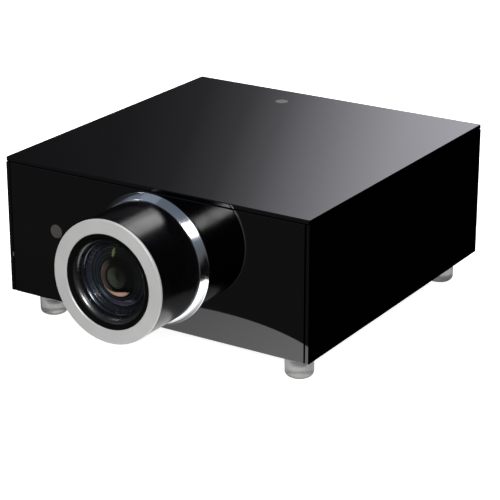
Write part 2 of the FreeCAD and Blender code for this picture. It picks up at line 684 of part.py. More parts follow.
def lens_tube():
    """Main lens barrel: a bore for the two sliding cells, a shoulder for the gears and a narrower rear."""
    bore = CELL_RADIUS + RUNNING
    plate = case_y(PLATE_FRONT)
    shoulder = case_y(FOCUS_GEAR_Y - SLIP)
    body = turned([
        (bore, lens_y(TUBE_FRONT)),
        (TUBE_RADIUS, lens_y(TUBE_FRONT)),
        (TUBE_RADIUS, shoulder - GEAR_SHOULDER),
        (TUBE_RADIUS + 3, shoulder - GEAR_SHOULDER),
        (TUBE_RADIUS + 3, shoulder),
        (TUBE_RADIUS, shoulder),
        (TUBE_RADIUS, plate + PLATE_THICK),
        (TUBE_RADIUS + 1.5, plate + PLATE_THICK),
        (TUBE_RADIUS + 1.5, plate + PLATE_THICK + 5),
        (TUBE_REAR_RADIUS, plate + PLATE_THICK + 5),
        (TUBE_REAR_RADIUS, case_y(TUBE_BACK)),
        (REAR_LENS_RADIUS - 2, case_y(TUBE_BACK)),
        (REAR_LENS_RADIUS - 2, case_y(TUBE_BACK - 4)),
        (TUBE_REAR_RADIUS - 3, case_y(TUBE_BACK - 4)),
        (TUBE_REAR_RADIUS - 3, plate + PLATE_THICK),
        (ZOOM_CELL_RADIUS + RUNNING, plate - 4),
        (ZOOM_CELL_RADIUS + RUNNING, case_y(ZOOM_BORE_FRONT)),
        (bore, case_y(ZOOM_BORE_FRONT)),
    ])
    return cut(body, [pin_slot(FOCUS_PIN, FOCUS_TRAVEL, CELL_RADIUS),
                      pin_slot(ZOOM_PIN, ZOOM_TRAVEL, ZOOM_CELL_RADIUS)])


def pin_slot(depth, travel, radius):
    """The slot through the tube that a cell's pin slides along."""
    half = PIN_RADIUS + 2 * RUNNING
    reach = travel + PIN_RADIUS + SLIP
    y = lens_y(depth)
    return box(-half, half, y - reach, y + reach, AXIS_Z + radius - 6, AXIS_Z + TUBE_RADIUS + 1)


def guide_pin(depth, inner):
    """Cam pin of a sliding cell, in the tube's slot."""
    y = lens_y(depth)
    return rod(PIN_RADIUS, (0, y, AXIS_Z + inner), (0, y, AXIS_Z + TUBE_RADIUS - 0.3))


def focus_cell():
    """Cell that carries the front lens in its wide head and the second on a step, with light baffles behind."""
    front = FOCUS_CELL_FRONT
    head = front + FOCUS_HEAD_LENGTH
    back = front + FOCUS_CELL_LENGTH
    lens = ELEMENT_RADIUS + RUNNING
    body = turned([
        (lens, lens_y(front)),
        (CELL_HEAD_RADIUS - 0.4, lens_y(front)),
        (CELL_HEAD_RADIUS, lens_y(front + 0.4)),
        (CELL_HEAD_RADIUS, lens_y(head)),
        (CELL_RADIUS, lens_y(head)),
        (CELL_RADIUS, lens_y(back)),
        (BAFFLE_RADIUS, lens_y(back)),
        (BAFFLE_RADIUS, lens_y(back - 1.5)),
        (BAFFLE_RADIUS + 2.4, lens_y(back - 3)),
        (BAFFLE_RADIUS + 2.4, lens_y(back - 6)),
        (BAFFLE_RADIUS + 4.2, lens_y(back - 6)),
        (BAFFLE_RADIUS + 4.2, lens_y(SECOND_SEAT)),
        (SECOND_RADIUS + RUNNING, lens_y(SECOND_SEAT)),
        (SECOND_RADIUS + RUNNING, lens_y(ELEMENT_BACK + 1.2)),
        (BAFFLE_RADIUS + 8.4, lens_y(ELEMENT_BACK)),
        (lens, lens_y(ELEMENT_BACK)),
    ])
    return fuse([body, guide_pin(FOCUS_PIN, CELL_RADIUS - 1)])


def dome(radius, sag):
    """Radius and rise of the middle of a spherical cap's section, measured from the crown."""
    sphere = (radius * radius + sag * sag) / (2 * abs(sag))
    half = math.asin(radius / sphere) / 2
    return sphere * math.sin(half), math.copysign(sphere * (1 - math.cos(half)), sag)


def lens_element(radius, front, edge, bulge, hollow):
    """A lens: its front bulges by `bulge` at the middle, and its back is hollowed by `hollow`."""
    r0, s0 = dome(radius, bulge)
    r1, s1 = dome(radius, hollow)
    return turned([
        (0, lens_y(front - bulge)),
        (radius, lens_y(front), r0, lens_y(front - bulge + s0)),
        (radius, lens_y(front + edge)),
        (0, lens_y(front + edge - hollow), r1, lens_y(front + edge - hollow + s1)),
    ])


def front_element():
    """Front lens, and close behind it the group's second lens, seated on a step of the cell."""
    first = lens_element(ELEMENT_RADIUS, ELEMENT_FRONT, ELEMENT_EDGE, 2.8, 4.6)
    second = lens_element(SECOND_RADIUS, SECOND_SEAT - SECOND_EDGE, SECOND_EDGE, SECOND_BULGE, 1.6)
    return fuse([first, second])


def retaining_ring():
    """Bright threaded ring that holds the front lens in its cell."""
    outer = ELEMENT_RADIUS
    y0, y1 = FOCUS_CELL_FRONT - 0.4, ELEMENT_FRONT
    body = turned([
        (outer - 0.7, lens_y(y0)),
        (outer, lens_y(y0)),
        (outer, lens_y(y1)),
        (outer - RETAINER_WIDTH, lens_y(y1 - 0.6)),
        (outer - RETAINER_WIDTH, lens_y(y0 + 2.0)),
    ])
    notches = [box(-outer - 1, -outer + 1.4, lens_y(y0 - 1), lens_y(y0 + 0.8), AXIS_Z - 1.2, AXIS_Z + 1.2),
               box(outer - 1.4, outer + 1, lens_y(y0 - 1), lens_y(y0 + 0.8), AXIS_Z - 1.2, AXIS_Z + 1.2)]
    return cut(body, notches)


def zoom_cell():
    """Second lens group's cell, with steps that trap stray light."""
    front = ZOOM_CELL_FRONT
    back = front + ZOOM_CELL_LENGTH
    lens = ZOOM_ELEMENT_RADIUS + RUNNING
    body = turned([
        (lens, lens_y(front + 2)),
        (lens + 2.5, lens_y(front)),
        (ZOOM_CELL_RADIUS, lens_y(front)),
        (ZOOM_CELL_RADIUS, lens_y(back)),
        (lens - 5, lens_y(back)),
        (lens - 5, lens_y(back - 4)),
        (lens - 2.5, lens_y(back - 4)),
        (lens - 2.5, lens_y(ZOOM_ELEMENT_FRONT + ZOOM_EDGE)),
        (lens, lens_y(ZOOM_ELEMENT_FRONT + ZOOM_EDGE)),
    ])
    return fuse([body, guide_pin(ZOOM_PIN, ZOOM_CELL_RADIUS - 1)])


def zoom_element():
    return lens_element(ZOOM_ELEMENT_RADIUS, ZOOM_ELEMENT_FRONT, ZOOM_EDGE, 4.2, 2.4)


def rear_element():
    """Rear lens of the fixed group, at the tube's inner end."""
    y1 = case_y(TUBE_BACK - 4)
    radius = TUBE_REAR_RADIUS - 3
    middle, rise = dome(radius, 4.0)
    return turned([
        (0, y1 - 9),
        (radius, y1 - 5, middle, y1 - 9 + rise),
        (radius, y1),
        (0, y1),
    ])


# ---- Lens drives ----
def drive_gear(y):
    tooth = FOCUS_ANGLE if y == FOCUS_GEAR_Y else ZOOM_ANGLE
    return gear(RING_TEETH, case_y(y), GEAR_WIDTH, TUBE_RADIUS + RUNNING, tooth, 0, AXIS_Z, 0.7)


def pinion_place(angle):
    """Centre of a pinion that stands so many degrees round the lens from +X towards +Z."""
    turn = math.radians(angle)
    return PINION_REACH * math.cos(turn), AXIS_Z + PINION_REACH * math.sin(turn)


def pinion(y, angle):
    x, z = pinion_place(angle)
    tooth = angle + 180 + 180 / PINION_TEETH
    return gear(PINION_TEETH, case_y(y), GEAR_WIDTH, PINION_SHAFT + RUNNING, tooth, x, z, 0.9)


def drive_motors():
    """Focus and zoom motors, flanged to the back of the carriage plate, with their shafts through it."""
    motors = []
    for y, angle in ((FOCUS_GEAR_Y, FOCUS_ANGLE), (ZOOM_GEAR_Y, ZOOM_ANGLE)):
        x, z = pinion_place(angle)
        back = case_y(PLATE_FRONT + PLATE_THICK)
        motors.append(fuse([
            rod(MOTOR_RADIUS, (x, back, z), (x, back + MOTOR_LENGTH, z)),
            rod(PINION_SHAFT, (x, case_y(y) - 1, z), (x, back + 1, z)),
            rod(MOTOR_RADIUS / 2, (x, back + MOTOR_LENGTH, z), (x, back + MOTOR_LENGTH + 2, z)),
        ]))
    return Part.makeCompound(motors)


def shift_carriage():
    """Plate that carries the lens, with bushes for the two upright rods and the nut of the lift screw."""
    y0, y1 = case_y(PLATE_FRONT), case_y(PLATE_FRONT + PLATE_THICK)
    middle = case_y(PLATE_MIDDLE)
    pieces = [box(-PLATE_HALF_X, PLATE_HALF_X, y0, y1, AXIS_Z - PLATE_HALF_Z, AXIS_Z + PLATE_HALF_Z)]
    for x in (-ROD_X, ROD_X):
        pieces.append(rod(8.0, (x, middle, AXIS_Z - 30), (x, middle, AXIS_Z + 30)))
    pieces.append(box(SCREW_X - 7, SCREW_X + 7, middle - 7, middle + 7, AXIS_Z - 12, AXIS_Z + 12))
    holes = [rod(TUBE_RADIUS, (0, y0 - 1, AXIS_Z), (0, y1 + 1, AXIS_Z))]
    for x in (-ROD_X, ROD_X):
        holes.append(rod(ROD_RADIUS + RUNNING, (x, middle, AXIS_Z - 70), (x, middle, AXIS_Z + 70)))
    low, high = AXIS_Z - 70, AXIS_Z + 70
    holes.append(rod(SCREW_RADIUS + RUNNING, (SCREW_X, middle, low), (SCREW_X, middle, high)))
    for angle in (FOCUS_ANGLE, ZOOM_ANGLE):
        x, z = pinion_place(angle)
        holes.append(rod(PINION_SHAFT + 1, (x, y0 - 1, z), (x, y1 + 1, z)))
    return cut(fuse(pieces), holes)


def lens_mount():
    """Fixed gantry round the carriage: two uprights, two bars that hold the rods, and the lift motor."""
    y0, y1 = case_y(PLATE_MIDDLE - 12), case_y(PLATE_MIDDLE + 12)
    middle = case_y(PLATE_MIDDLE)
    side = MOUNT_SIDE + MOUNT_BAR
    pieces = [
        box(-side, side, y0, y1, MOUNT_BAR_LOW - MOUNT_BAR, MOUNT_BAR_LOW),
        box(-side, side, y0, y1, MOUNT_BAR_HIGH, MOUNT_BAR_HIGH + MOUNT_BAR),
    ]
    for x0, x1 in ((-side, -MOUNT_SIDE), (MOUNT_SIDE, side)):
        pieces.append(box(x0, x1, y0, y1, TRAY_TOP, MOUNT_BAR_HIGH))
        pieces.append(box(x0 - 8, x1 + 8, y0, y1 + 14, TRAY_TOP, TRAY_TOP + 4))
    holes = [rod(ROD_RADIUS, (x, middle, MOUNT_BAR_LOW - 6), (x, middle, MOUNT_BAR_HIGH + MOUNT_BAR + 1))
             for x in (-ROD_X, ROD_X)]
    high = MOUNT_BAR_HIGH + MOUNT_BAR
    pieces.append(rod(14.0, (SCREW_X, middle, high), (SCREW_X, middle, high + 10)))
    pieces.append(box(SCREW_X - 19, SCREW_X + 19, middle - 7, middle + 7, high, high + 1.5))
    steps = ((SCREW_RADIUS, MOUNT_BAR_LOW - 6, SCREW_TOP - 6), (SCREW_END, high, SCREW_TOP))
    for radius, low, top in steps:
        holes.append(rod(radius + RUNNING, (SCREW_X, middle, low), (SCREW_X, middle, top + SLIP)))
    return cut(fuse(pieces), holes)


def shift_rods():
    middle = case_y(PLATE_MIDDLE)
    return Part.makeCompound([
        rod(ROD_RADIUS, (x, middle, MOUNT_BAR_LOW - 6), (x, middle, MOUNT_BAR_HIGH + MOUNT_BAR))
        for x in (-ROD_X, ROD_X)])


def shift_screw():
    """Lift screw, drawn without its thread, with the reduced end that the motor drives."""
    middle = case_y(PLATE_MIDDLE)
    return fuse([
        rod(SCREW_RADIUS, (SCREW_X, middle, MOUNT_BAR_LOW - 6 + SLIP), (SCREW_X, middle, SCREW_TOP - 6)),
        rod(SCREW_END, (SCREW_X, middle, SCREW_TOP - 7), (SCREW_X, middle, SCREW_TOP)),
    ])


# ---- Light engine ----
def engine_housing():
    """Cast housing: the prism chamber behind the lens, and the arm that turns back to the lamp."""
    wall = ENGINE_WALL
    right = LAMP_X + ARM_HALF
    arm_front = ENGINE_BACK - 2 * ARM_HALF
    solid = fuse([
        box(-ENGINE_HALF, ENGINE_HALF, case_y(ENGINE_FRONT), case_y(ENGINE_BACK), ENGINE_LOW, ENGINE_HIGH),
        box(0, right, case_y(arm_front), case_y(ENGINE_BACK), ENGINE_LOW, ENGINE_HIGH),
        box(LAMP_X - ARM_HALF, right, case_y(arm_front), case_y(ARM_BACK), ENGINE_LOW, ENGINE_HIGH),
    ])
    low, high = ENGINE_LOW + wall, ENGINE_HIGH - wall
    inner = ENGINE_HALF - wall
    back = case_y(ENGINE_BACK)
    end = case_y(ARM_BACK)
    elbow = case_y(arm_front) + wall
    hollow = fuse([
        box(-inner, inner, case_y(ENGINE_FRONT) + wall, back - wall, low, high),
        box(0, right - wall, elbow, back - wall, low, high),
        box(LAMP_X - ARM_HALF + wall, right - wall, elbow, end - 2 * wall, low, high),
    ])
    half = TUNNEL_SIDE / 2
    chip_x, chip_z = CHIP_HALF_X + 1, CHIP_HALF_Z + 1
    holes = [
        rod(30.0, (0, case_y(ENGINE_FRONT) - 1, AXIS_Z), (0, case_y(ENGINE_FRONT) + wall + 1, AXIS_Z)),
        box(-chip_x, chip_x, back - wall - 1, back + 1, AXIS_Z - chip_z, AXIS_Z + chip_z),
        box(LAMP_X - half, LAMP_X + half, end - 2 * wall - 1, end + 1, AXIS_Z - half, AXIS_Z + half),
    ]
    stands = []
    left = -ENGINE_HALF + 12
    for x, depth in ((left, ENGINE_FRONT + 12), (left, ENGINE_BACK - 12),
                     (right - 12, arm_front + 12), (right - 12, ARM_BACK - 12)):
        stands.append(rod(5.0, (x, case_y(depth), TRAY_TOP), (x, case_y(depth), ENGINE_LOW)))
    return fuse([cut(solid.cut(hollow), holes)] + stands)


def relay_optics():
    """Prism, two relay lenses and folding mirror on the housing's floor, and the tunnel in its end."""
    low = ENGINE_LOW + ENGINE_WALL
    reach = AXIS_Z - low
    arm_middle = case_y(ENGINE_BACK - ARM_HALF)
    prism = box(-24, 24, arm_middle - 24, arm_middle + 24, low, AXIS_Z + 24)
    middle, rise = dome(reach, 3.0)
    first = turned([
        (0, case_y(218)),
        (reach, case_y(221), middle, case_y(218 + rise)),
        (reach, case_y(224)),
        (0, case_y(227), middle, case_y(227 - rise)),
    ], LAMP_X, AXIS_Z)
    second = rod(reach, (72, arm_middle, AXIS_Z), (80, arm_middle, AXIS_Z))
    mirror = box(-30, 30, -1.5, 1.5, low, low + 2 * reach)
    mirror.rotate(Vector(0, 0, 0), Vector(0, 0, 1), -45)
    mirror.translate(Vector(LAMP_X + 4, arm_middle - 4, 0))
    half = TUNNEL_SIDE / 2
    inner = half - 2
    y0, y1 = case_y(TUNNEL_FRONT), case_y(TUNNEL_BACK)
    tunnel = box(LAMP_X - half, LAMP_X + half, y0, y1, AXIS_Z - half, AXIS_Z + half).cut(
        box(LAMP_X - inner, LAMP_X + inner, y0 - 1, y1 + 1, AXIS_Z - inner, AXIS_Z + inner))
    return Part.makeCompound([prism, first, second, mirror, tunnel])


def colour_wheel():
    z = AXIS_Z + WHEEL_OFFSET
    y0 = case_y(WHEEL_Y)
    bore = WHEEL_SHAFT + RUNNING
    return turned([
        (bore, y0 - 2),
        (9, y0 - 2),
        (9, y0),
        (WHEEL_RADIUS, y0),
        (WHEEL_RADIUS, y0 + WHEEL_THICK),
        (12, y0 + WHEEL_THICK),
        (12, y0 + WHEEL_THICK + 2),
        (bore, y0 + WHEEL_THICK + 2),
    ], LAMP_X, z)


def colour_wheel_motor():
    """Wheel motor on a bracket that stands on the engine housing's roof."""
    z = AXIS_Z + WHEEL_OFFSET
    y0 = case_y(WHEEL_Y + WHEEL_THICK + 2 + SLIP)
    roof = z + WHEEL_RADIUS + 3
    return fuse([
        rod(12.0, (LAMP_X, y0, z), (LAMP_X, y0 + 12, z)),
        rod(WHEEL_SHAFT, (LAMP_X, case_y(WHEEL_Y - 2), z), (LAMP_X, y0 + 1, z)),
        box(LAMP_X - 10, LAMP_X + 10, y0 + 12, y0 + 14, z - 8, roof + 2),
        box(LAMP_X - 10, LAMP_X + 10, case_y(ARM_BACK - 10), y0 + 14, roof, roof + 2),
        box(LAMP_X - 10, LAMP_X + 10, case_y(ARM_BACK - 10), case_y(ARM_BACK - 8), ENGINE_HIGH, roof),
        box(LAMP_X - 14, LAMP_X + 14, case_y(ARM_BACK - 18), case_y(ARM_BACK - 8),
            ENGINE_HIGH, ENGINE_HIGH + 2),
    ])


def dmd_board():
    """Imager board behind the prism chamber, with the chip in its window."""
    y = case_y(ENGINE_BACK)
    board = box(-40, 40, y, y + BOARD_THICK, AXIS_Z - 34, AXIS_Z + 34)
    chip = box(-CHIP_HALF_X, CHIP_HALF_X, y - 2.5, y, AXIS_Z - CHIP_HALF_Z, AXIS_Z + CHIP_HALF_Z)
    plug = box(-36, -28, y + BOARD_THICK, y + BOARD_THICK + 6, AXIS_Z - 20, AXIS_Z + 20)
    return fuse([board, chip, plug])


def dmd_heatsink():
    y = case_y(ENGINE_BACK) + BOARD_THICK
    base = box(-25, 37, y, y + 5, AXIS_Z - 30, AXIS_Z + 30)
    for n in range(10):
        z = AXIS_Z - 30 + n * 6.5
        base = base.fuse(box(-25, 37, y + 5, y + 38, z, z + 1.5))
    return base.removeSplitter()


# ---- Lamp module ----
def lamp_bay():
    """Sheet channel that the lamp module slides in, on two legs."""
    x0, x1 = LAMP_X - LAMP_HALF - SLIP, LAMP_X + LAMP_HALF + SLIP
    y0, y1 = case_y(LAMP_FRONT), case_y(REAR - SHEET)
    pieces = [
        box(x0 - BAY_WALL, x1 + BAY_WALL, y0, y1, BAY_LOW - BAY_WALL, BAY_LOW),
        box(x0 - BAY_WALL, x0, y0, y1, BAY_LOW, AXIS_Z + 20),
        box(x1, x1 + BAY_WALL, y0, y1, BAY_LOW, AXIS_Z + 20),
    ]
    for y in (y0 + 5, y1 - 72):
        pieces.append(box(x0 + 13, x0 + 15, y, y + 20, TRAY_TOP, BAY_LOW - BAY_WALL))
        pieces.append(box(x1 - 12, x1 - 10, y, y + 20, TRAY_TOP, BAY_LOW - BAY_WALL))
    return fuse(pieces)


def lamp_carrier():
    """Lamp drawer: an open cage with the louvred cover that closes the bay, and its two captive screws."""
    x0, x1 = LAMP_X - LAMP_HALF, LAMP_X + LAMP_HALF
    z0, z1 = AXIS_Z - LAMP_HALF, AXIS_Z + LAMP_HALF
    y0, y1 = case_y(LAMP_FRONT), case_y(REAR)
    cage = box(x0, x1, y0, y1, z0, z1).cut(box(x0 + 2, x1 - 2, y0 + 3, y1, z0 + 2, z1 - 2))
    door = box(LAMP_X - LAMP_DOOR_HALF_X, LAMP_X + LAMP_DOOR_HALF_X, y1, y1 + DOOR_THICK,
               AXIS_Z - LAMP_DOOR_HALF_Z, AXIS_Z + LAMP_DOOR_HALF_Z)
    pull = fuse([
        box(LAMP_X - 16, LAMP_X + 16, y1 + DOOR_THICK, y1 + DOOR_THICK + 4.5, AXIS_Z - 47, AXIS_Z - 44.5),
        box(LAMP_X - 16, LAMP_X + 16, y1 + DOOR_THICK + 3, y1 + DOOR_THICK + 4.5, AXIS_Z - 47, AXIS_Z - 41),
    ])
    holes = [rod(REFLECTOR_RADIUS - 2, (LAMP_X, y0 - 1, AXIS_Z), (LAMP_X, y0 + 4, AXIS_Z))]
    for z in slot_places(LAMP_SLOTS, AXIS_Z + 6):
        low, high = z - SLOT_HALF, z + SLOT_HALF
        holes.append(slot(LAMP_X - 40, LAMP_X + 40, low, high, y1 - 1, y1 + DOOR_THICK + 1))
    vents = [box(x0 - 1, x0 + 3, y - 2, y + 2, AXIS_Z - 30, AXIS_Z + 30)
             for y in slot_places(LAMP_SLOTS, y0 + 58)]
    body = cut(fuse([cage, door, pull]), holes + vents)
    screws = []
    for x in (LAMP_X - LAMP_DOOR_HALF_X + 7, LAMP_X + LAMP_DOOR_HALF_X - 7):
        z = AXIS_Z - LAMP_DOOR_HALF_Z + 7
        screws.append(rod(4.5, (x, y1 + DOOR_THICK, z), (x, y1 + DOOR_THICK + 5, z)).cut(
            box(x - 3.4, x + 3.4, y1 + DOOR_THICK + 4, y1 + DOOR_THICK + 6, z - 0.5, z + 0.5)))
    return Part.makeCompound([body] + screws)


def lamp_bulb():
    """Elliptical glass reflector with its ceramic neck, and the quartz burner along its axis."""
    y0 = case_y(LAMP_FRONT) + 3
    r, d = REFLECTOR_RADIUS, REFLECTOR_DEPTH
    reflector = turned([
        (r - 3, y0),
        (r + 3, y0),
        (r + 3, y0 + 4),
        (r, y0 + 4),
        (10, y0 + d, r * 0.80, y0 + d * 0.52),
        (10, y0 + d + 18),
        (7, y0 + d + 18),
        (7, y0 + d - 2),
        (r - 3, y0, (r - 3) * 0.80, y0 + d * 0.47),
    ], LAMP_X, AXIS_Z)
    burner = fuse([
        rod(2.5, (LAMP_X, y0 + 8, AXIS_Z), (LAMP_X, y0 + d + 16, AXIS_Z)),
        Part.makeSphere(5.5, Vector(LAMP_X, y0 + 32, AXIS_Z)),
        rod(7.0, (LAMP_X, y0 + d + 10, AXIS_Z), (LAMP_X, y0 + d + 18, AXIS_Z)),
    ])
    shelves = []
    for z, low, high in ((AXIS_Z - r - 3, -3.0, 1.0), (AXIS_Z + r + 3, -1.0, 3.0)):
        shelves.append(box(LAMP_X - 8, LAMP_X + 8, y0 + 0.5, y0 + 3.5, z + low, z + high))
    return Part.makeCompound([fuse([reflector] + shelves), burner])


# ---- Cooling ----
def fan_frame(depth_axis, x, y, z):
    """Square fan frame with a round duct, a hub plate on four spokes and a bearing stub."""
    half = FAN_SIZE / 2
    body = box(-half, half, 0, FAN_DEPTH, -half, half)
    body = body.cut(rod(half - FAN_WALL, (0, -1, 0), (0, FAN_DEPTH + 1, 0)))
    hub = rod(FAN_HUB, (0, FAN_DEPTH - 3, 0), (0, FAN_DEPTH, 0))
    spokes = [box(-half + 1, half - 1, FAN_DEPTH - 3, FAN_DEPTH, -1.5, 1.5),
              box(-1.5, 1.5, FAN_DEPTH - 3, FAN_DEPTH, -half + 1, half - 1)]
    stub = rod(FAN_STUB, (0, 5, 0), (0, FAN_DEPTH - 3, 0))
    corner = half - 5
    holes = [rod(2.2, (x_side, -1, z_side), (x_side, FAN_DEPTH + 1, z_side))
             for x_side in (-corner, corner) for z_side in (-corner, corner)]
    return placed(cut(fuse([body, hub, stub] + spokes), holes), depth_axis, x, y, z)


def fan_rotor(depth_axis, x, y, z):
    """Hub with swept blades, running on the frame's stub."""
    hub = rod(FAN_HUB, (0, 2, 0), (0, FAN_DEPTH - 4, 0)).cut(
        rod(FAN_STUB + RUNNING, (0, 4, 0), (0, FAN_DEPTH, 0)))
    blades = []
    for n in range(FAN_BLADES):
        blade = box(FAN_HUB - 2, FAN_SIZE / 2 - 4, -0.9, 0.9, -11, 11)
        blade.rotate(Vector(0, 0, 0), Vector(1, 0, 0), 52)
        blade.translate(Vector(0, (FAN_DEPTH - 2) / 2, 0))
        blade.rotate(Vector(0, 0, 0), Vector(0, 1, 0), 360 * n / FAN_BLADES)
        blades.append(blade)
    return placed(fuse([hub] + blades), depth_axis, x, y, z)


def placed(shape, depth_axis, x, y, z):
    """Turns a piece made about +Y so that its depth runs along Y or up Z, and puts it in place."""
    if depth_axis == "up":
        shape.rotate(Vector(0, 0, 0), Vector(1, 0, 0), 90)
    shape.translate(Vector(x, y, z))
    return shape


def fan_frames():
    return Part.makeCompound([fan_frame(*EXHAUST_PLACE), fan_frame(*INTAKE_PLACE)])


# ---- Electronics and rear panel ----
def socket_shell(x, half, low, high, wall, tongue):
    """Open metal shell on the main board, with a contact tongue inside."""
    y0, y1 = case_y(REAR - 14), case_y(REAR + 1)
    shell = box(x - half, x + half, y0, y1, low, high).cut(
        box(x - half + wall, x + half - wall, y0 + 3, y1 + 1, low + wall, high - wall))
    middle = (low + high) / 2
    inner = box(x - half + tongue, x + half - tongue, y0 + 2, y1 - 2, middle - 0.6, middle + 0.6)
    return fuse([shell, inner])


def dsub_socket(x, low, high):
    """D-shaped shell with a jack post on each side."""
    y0, y1 = case_y(REAR - 12), case_y(REAR + 1)
    body = box(x - 15.5, x + 15.5, y0, y1, low, high)
    face = Part.Face(Part.makePolygon([
        Vector(x - 9, y1, low + 10.2),
        Vector(x + 9, y1, low + 10.2),
        Vector(x + 7.6, y1, low + 1.8),
        Vector(x - 7.6, y1, low + 1.8),
        Vector(x - 9, y1, low + 10.2),
    ]))
    shell = face.extrude(Vector(0, 5, 0))
    middle = (low + high) / 2
    posts = []
    for px in (x - 12.5, x + 12.5):
        post = rod(2.4, (px, y1, middle), (px, y1 + 4.5, middle))
        posts.append(post.cut(rod(1.3, (px, y1 + 1, middle), (px, y1 + 6, middle))))
    return fuse([body, shell] + posts)


def round_socket(x, middle):
    """Coaxial socket: block on the board, outer barrel and centre bore."""
    y0, y1 = case_y(REAR - 12), case_y(REAR - SHEET - SLIP)
    block = box(x - 5.5, x + 5.5, y0, y1, BOARD_Z + BOARD_THICK, middle + 5.5)
    barrel = rod(4.15, (x, y1 - 1, middle), (x, case_y(REAR + 7.5), middle))
    bore = rod(1.7, (x, case_y(REAR - 4), middle), (x, case_y(REAR + 9), middle))
    return fuse([block, barrel]).cut(bore)


def jack_socket(x, middle):
    y0, y1 = case_y(REAR - 12), case_y(REAR - SHEET - SLIP)
    block = box(x - 4.4, x + 4.4, y0, y1, BOARD_Z + BOARD_THICK, middle + 4.4)
    collar = rod(3.4, (x, y1 - 1, middle), (x, case_y(REAR + 1.5), middle))
    return fuse([block, collar]).cut(rod(1.8, (x, case_y(REAR - 9), middle), (x, case_y(REAR + 3), middle)))


def connectors():
    base = BOARD_Z + BOARD_THICK
    made = []
    for name, x in CONNECTOR_PLACES:
        half, low, high = CONNECTOR_SIZES[name]
        if name == "dsub":
            made.append(dsub_socket(x, base, base + high - SLIP))
        elif name == "round":
            made.append(round_socket(x, base + (low + high) / 2))
        elif name == "jack":
            made.append(jack_socket(x, base + (low + high) / 2))
        else:
            wall, tongue = {"hdmi": (0.5, 2.0), "usb": (0.6, 3.2), "network": (1.2, 3.4)}[name]
            made.append(socket_shell(x, half - 0.1, base, base + high, wall, tongue))
    return Part.makeCompound(made)


def main_board():
    """Signal board with chips, coils and capacitors, and the small keypad board behind the keys."""
    y0, y1 = case_y(BOARD_FRONT), case_y(BOARD_BACK)
    top = BOARD_Z + BOARD_THICK
    board = [box(BOARD_LEFT, BOARD_RIGHT, y0, y1, BOARD_Z, top)]
    for x, depth, wide, deep, tall in CHIPS:
        y = case_y(depth)
        board.append(box(x - wide / 2, x + wide / 2, y - deep / 2, y + deep / 2, top, top + tall))
    for n in range(CAPACITORS):
        x = BOARD_LEFT + 10 + n * CAPACITOR_PITCH
        y = case_y(BOARD_BACK - 28.5)
        board.append(rod(4.0, (x, y, top), (x, y, top + 11)))
    board += legs(BOARD_LEFT + 6, BOARD_RIGHT - 6, BOARD_FRONT + 6, BOARD_BACK - 40, BOARD_Z)
    return Part.makeCompound([fuse(board), keypad_board()])


def legs(left, right, front, back, high):
    """Four stand-offs between the tray and a board."""
    return [rod(LEG_RADIUS, (x, case_y(depth), TRAY_TOP), (x, case_y(depth), high))
            for x in (left, right) for depth in (front, back)]


def keypad_board():
    """Small board behind the keys, with a switch for each and four stand-offs to the panel."""
    panel = case_y(REAR - SHEET)
    half = KEYPAD_HALF
    pieces = [box(KEY_X - half, KEY_X + half, panel - 7.6, panel - 6, KEY_Z - half, KEY_Z + half)]
    for x, z in key_places().values():
        pieces.append(box(x - 3, x + 3, panel - 6, panel - SWITCH_TOP, z - 3, z + 3))
    for x in (KEY_X - half + 3, KEY_X + half - 3):
        for z in (KEY_Z - half + 3, KEY_Z + half - 3):
            pieces.append(rod(1.8, (x, panel - 6, z), (x, panel, z)))
    return fuse(pieces)


def key(x, z):
    """Round key with a domed cap and a flange that keeps it behind the panel."""
    back = case_y(REAR)
    stem = back - SHEET
    low = stem - SWITCH_TOP + KEY_TRAVEL + 0.4
    middle, rise = dome(KEY_RADIUS, KEY_DOME)
    return turned([
        (0, low),
        (2.0, low),
        (2.0, stem - 1.2),
        (KEY_RADIUS + 1.2, stem - 1.2),
        (KEY_RADIUS + 1.2, stem - 0.1),
        (KEY_RADIUS, stem - 0.1),
        (KEY_RADIUS, back + KEY_STAND - KEY_DOME),
        (0, back + KEY_STAND, middle, back + KEY_STAND - rise),
    ], x, z)


def power_inlet():
    """Mains inlet: a flanged body with a recess and three pins."""
    back = case_y(REAR)
    wide, tall = INLET_HALF_X, INLET_HALF_Z
    outer = fuse([
        box(INLET_X - wide, INLET_X + wide, back - 22, back, INLET_Z - tall, INLET_Z + tall),
        box(INLET_X - wide - 2, INLET_X + wide + 2, back, back + 2.2,
            INLET_Z - tall - 2, INLET_Z + tall + 2),
    ])
    recess = box(INLET_X - 12, INLET_X + 12, back - 16, back + 3, INLET_Z - 8.2, INLET_Z + 8.2)
    corners = [e for e in recess.Edges
               if abs(e.tangentAt(e.FirstParameter).y) > 0.9 and e.CenterOfMass.z > INLET_Z]
    recess = recess.makeChamfer(4.0, corners)
    pins = [box(INLET_X + dx - 1, INLET_X + dx + 1, back - 17, back - 2, INLET_Z + dz - 2, INLET_Z + dz + 2)
            for dx, dz in ((-7, -2), (7, -2), (0, 2))]
    return fuse([outer.cut(recess)] + pins)


def rocker_middle():
    return ROCKER_X, case_y(REAR) - 3.0, INLET_Z


def rocker_bezel():
    """Frame of the mains switch, with the round ends that the rocker's axle turns in."""
    x, y, z = rocker_middle()
    back = case_y(REAR)
    wide, tall = ROCKER_HALF_X, ROCKER_HALF_Z
    body = fuse([
        box(x - wide, x + wide, back - 14, back, z - tall, z + tall),
        box(x - wide - 2.1, x + wide + 2.1, back, back + 1.8, z - tall - 2.2, z + tall + 2.2),
    ])
    well = box(x - 5.6, x + 5.6, back - 12, back + 3, z - 9.6, z + 9.6)
    axle = rod(1.2 + RUNNING, (x - 6.5, y, z), (x + 6.5, y, z))
    return cut(body, [well, axle])


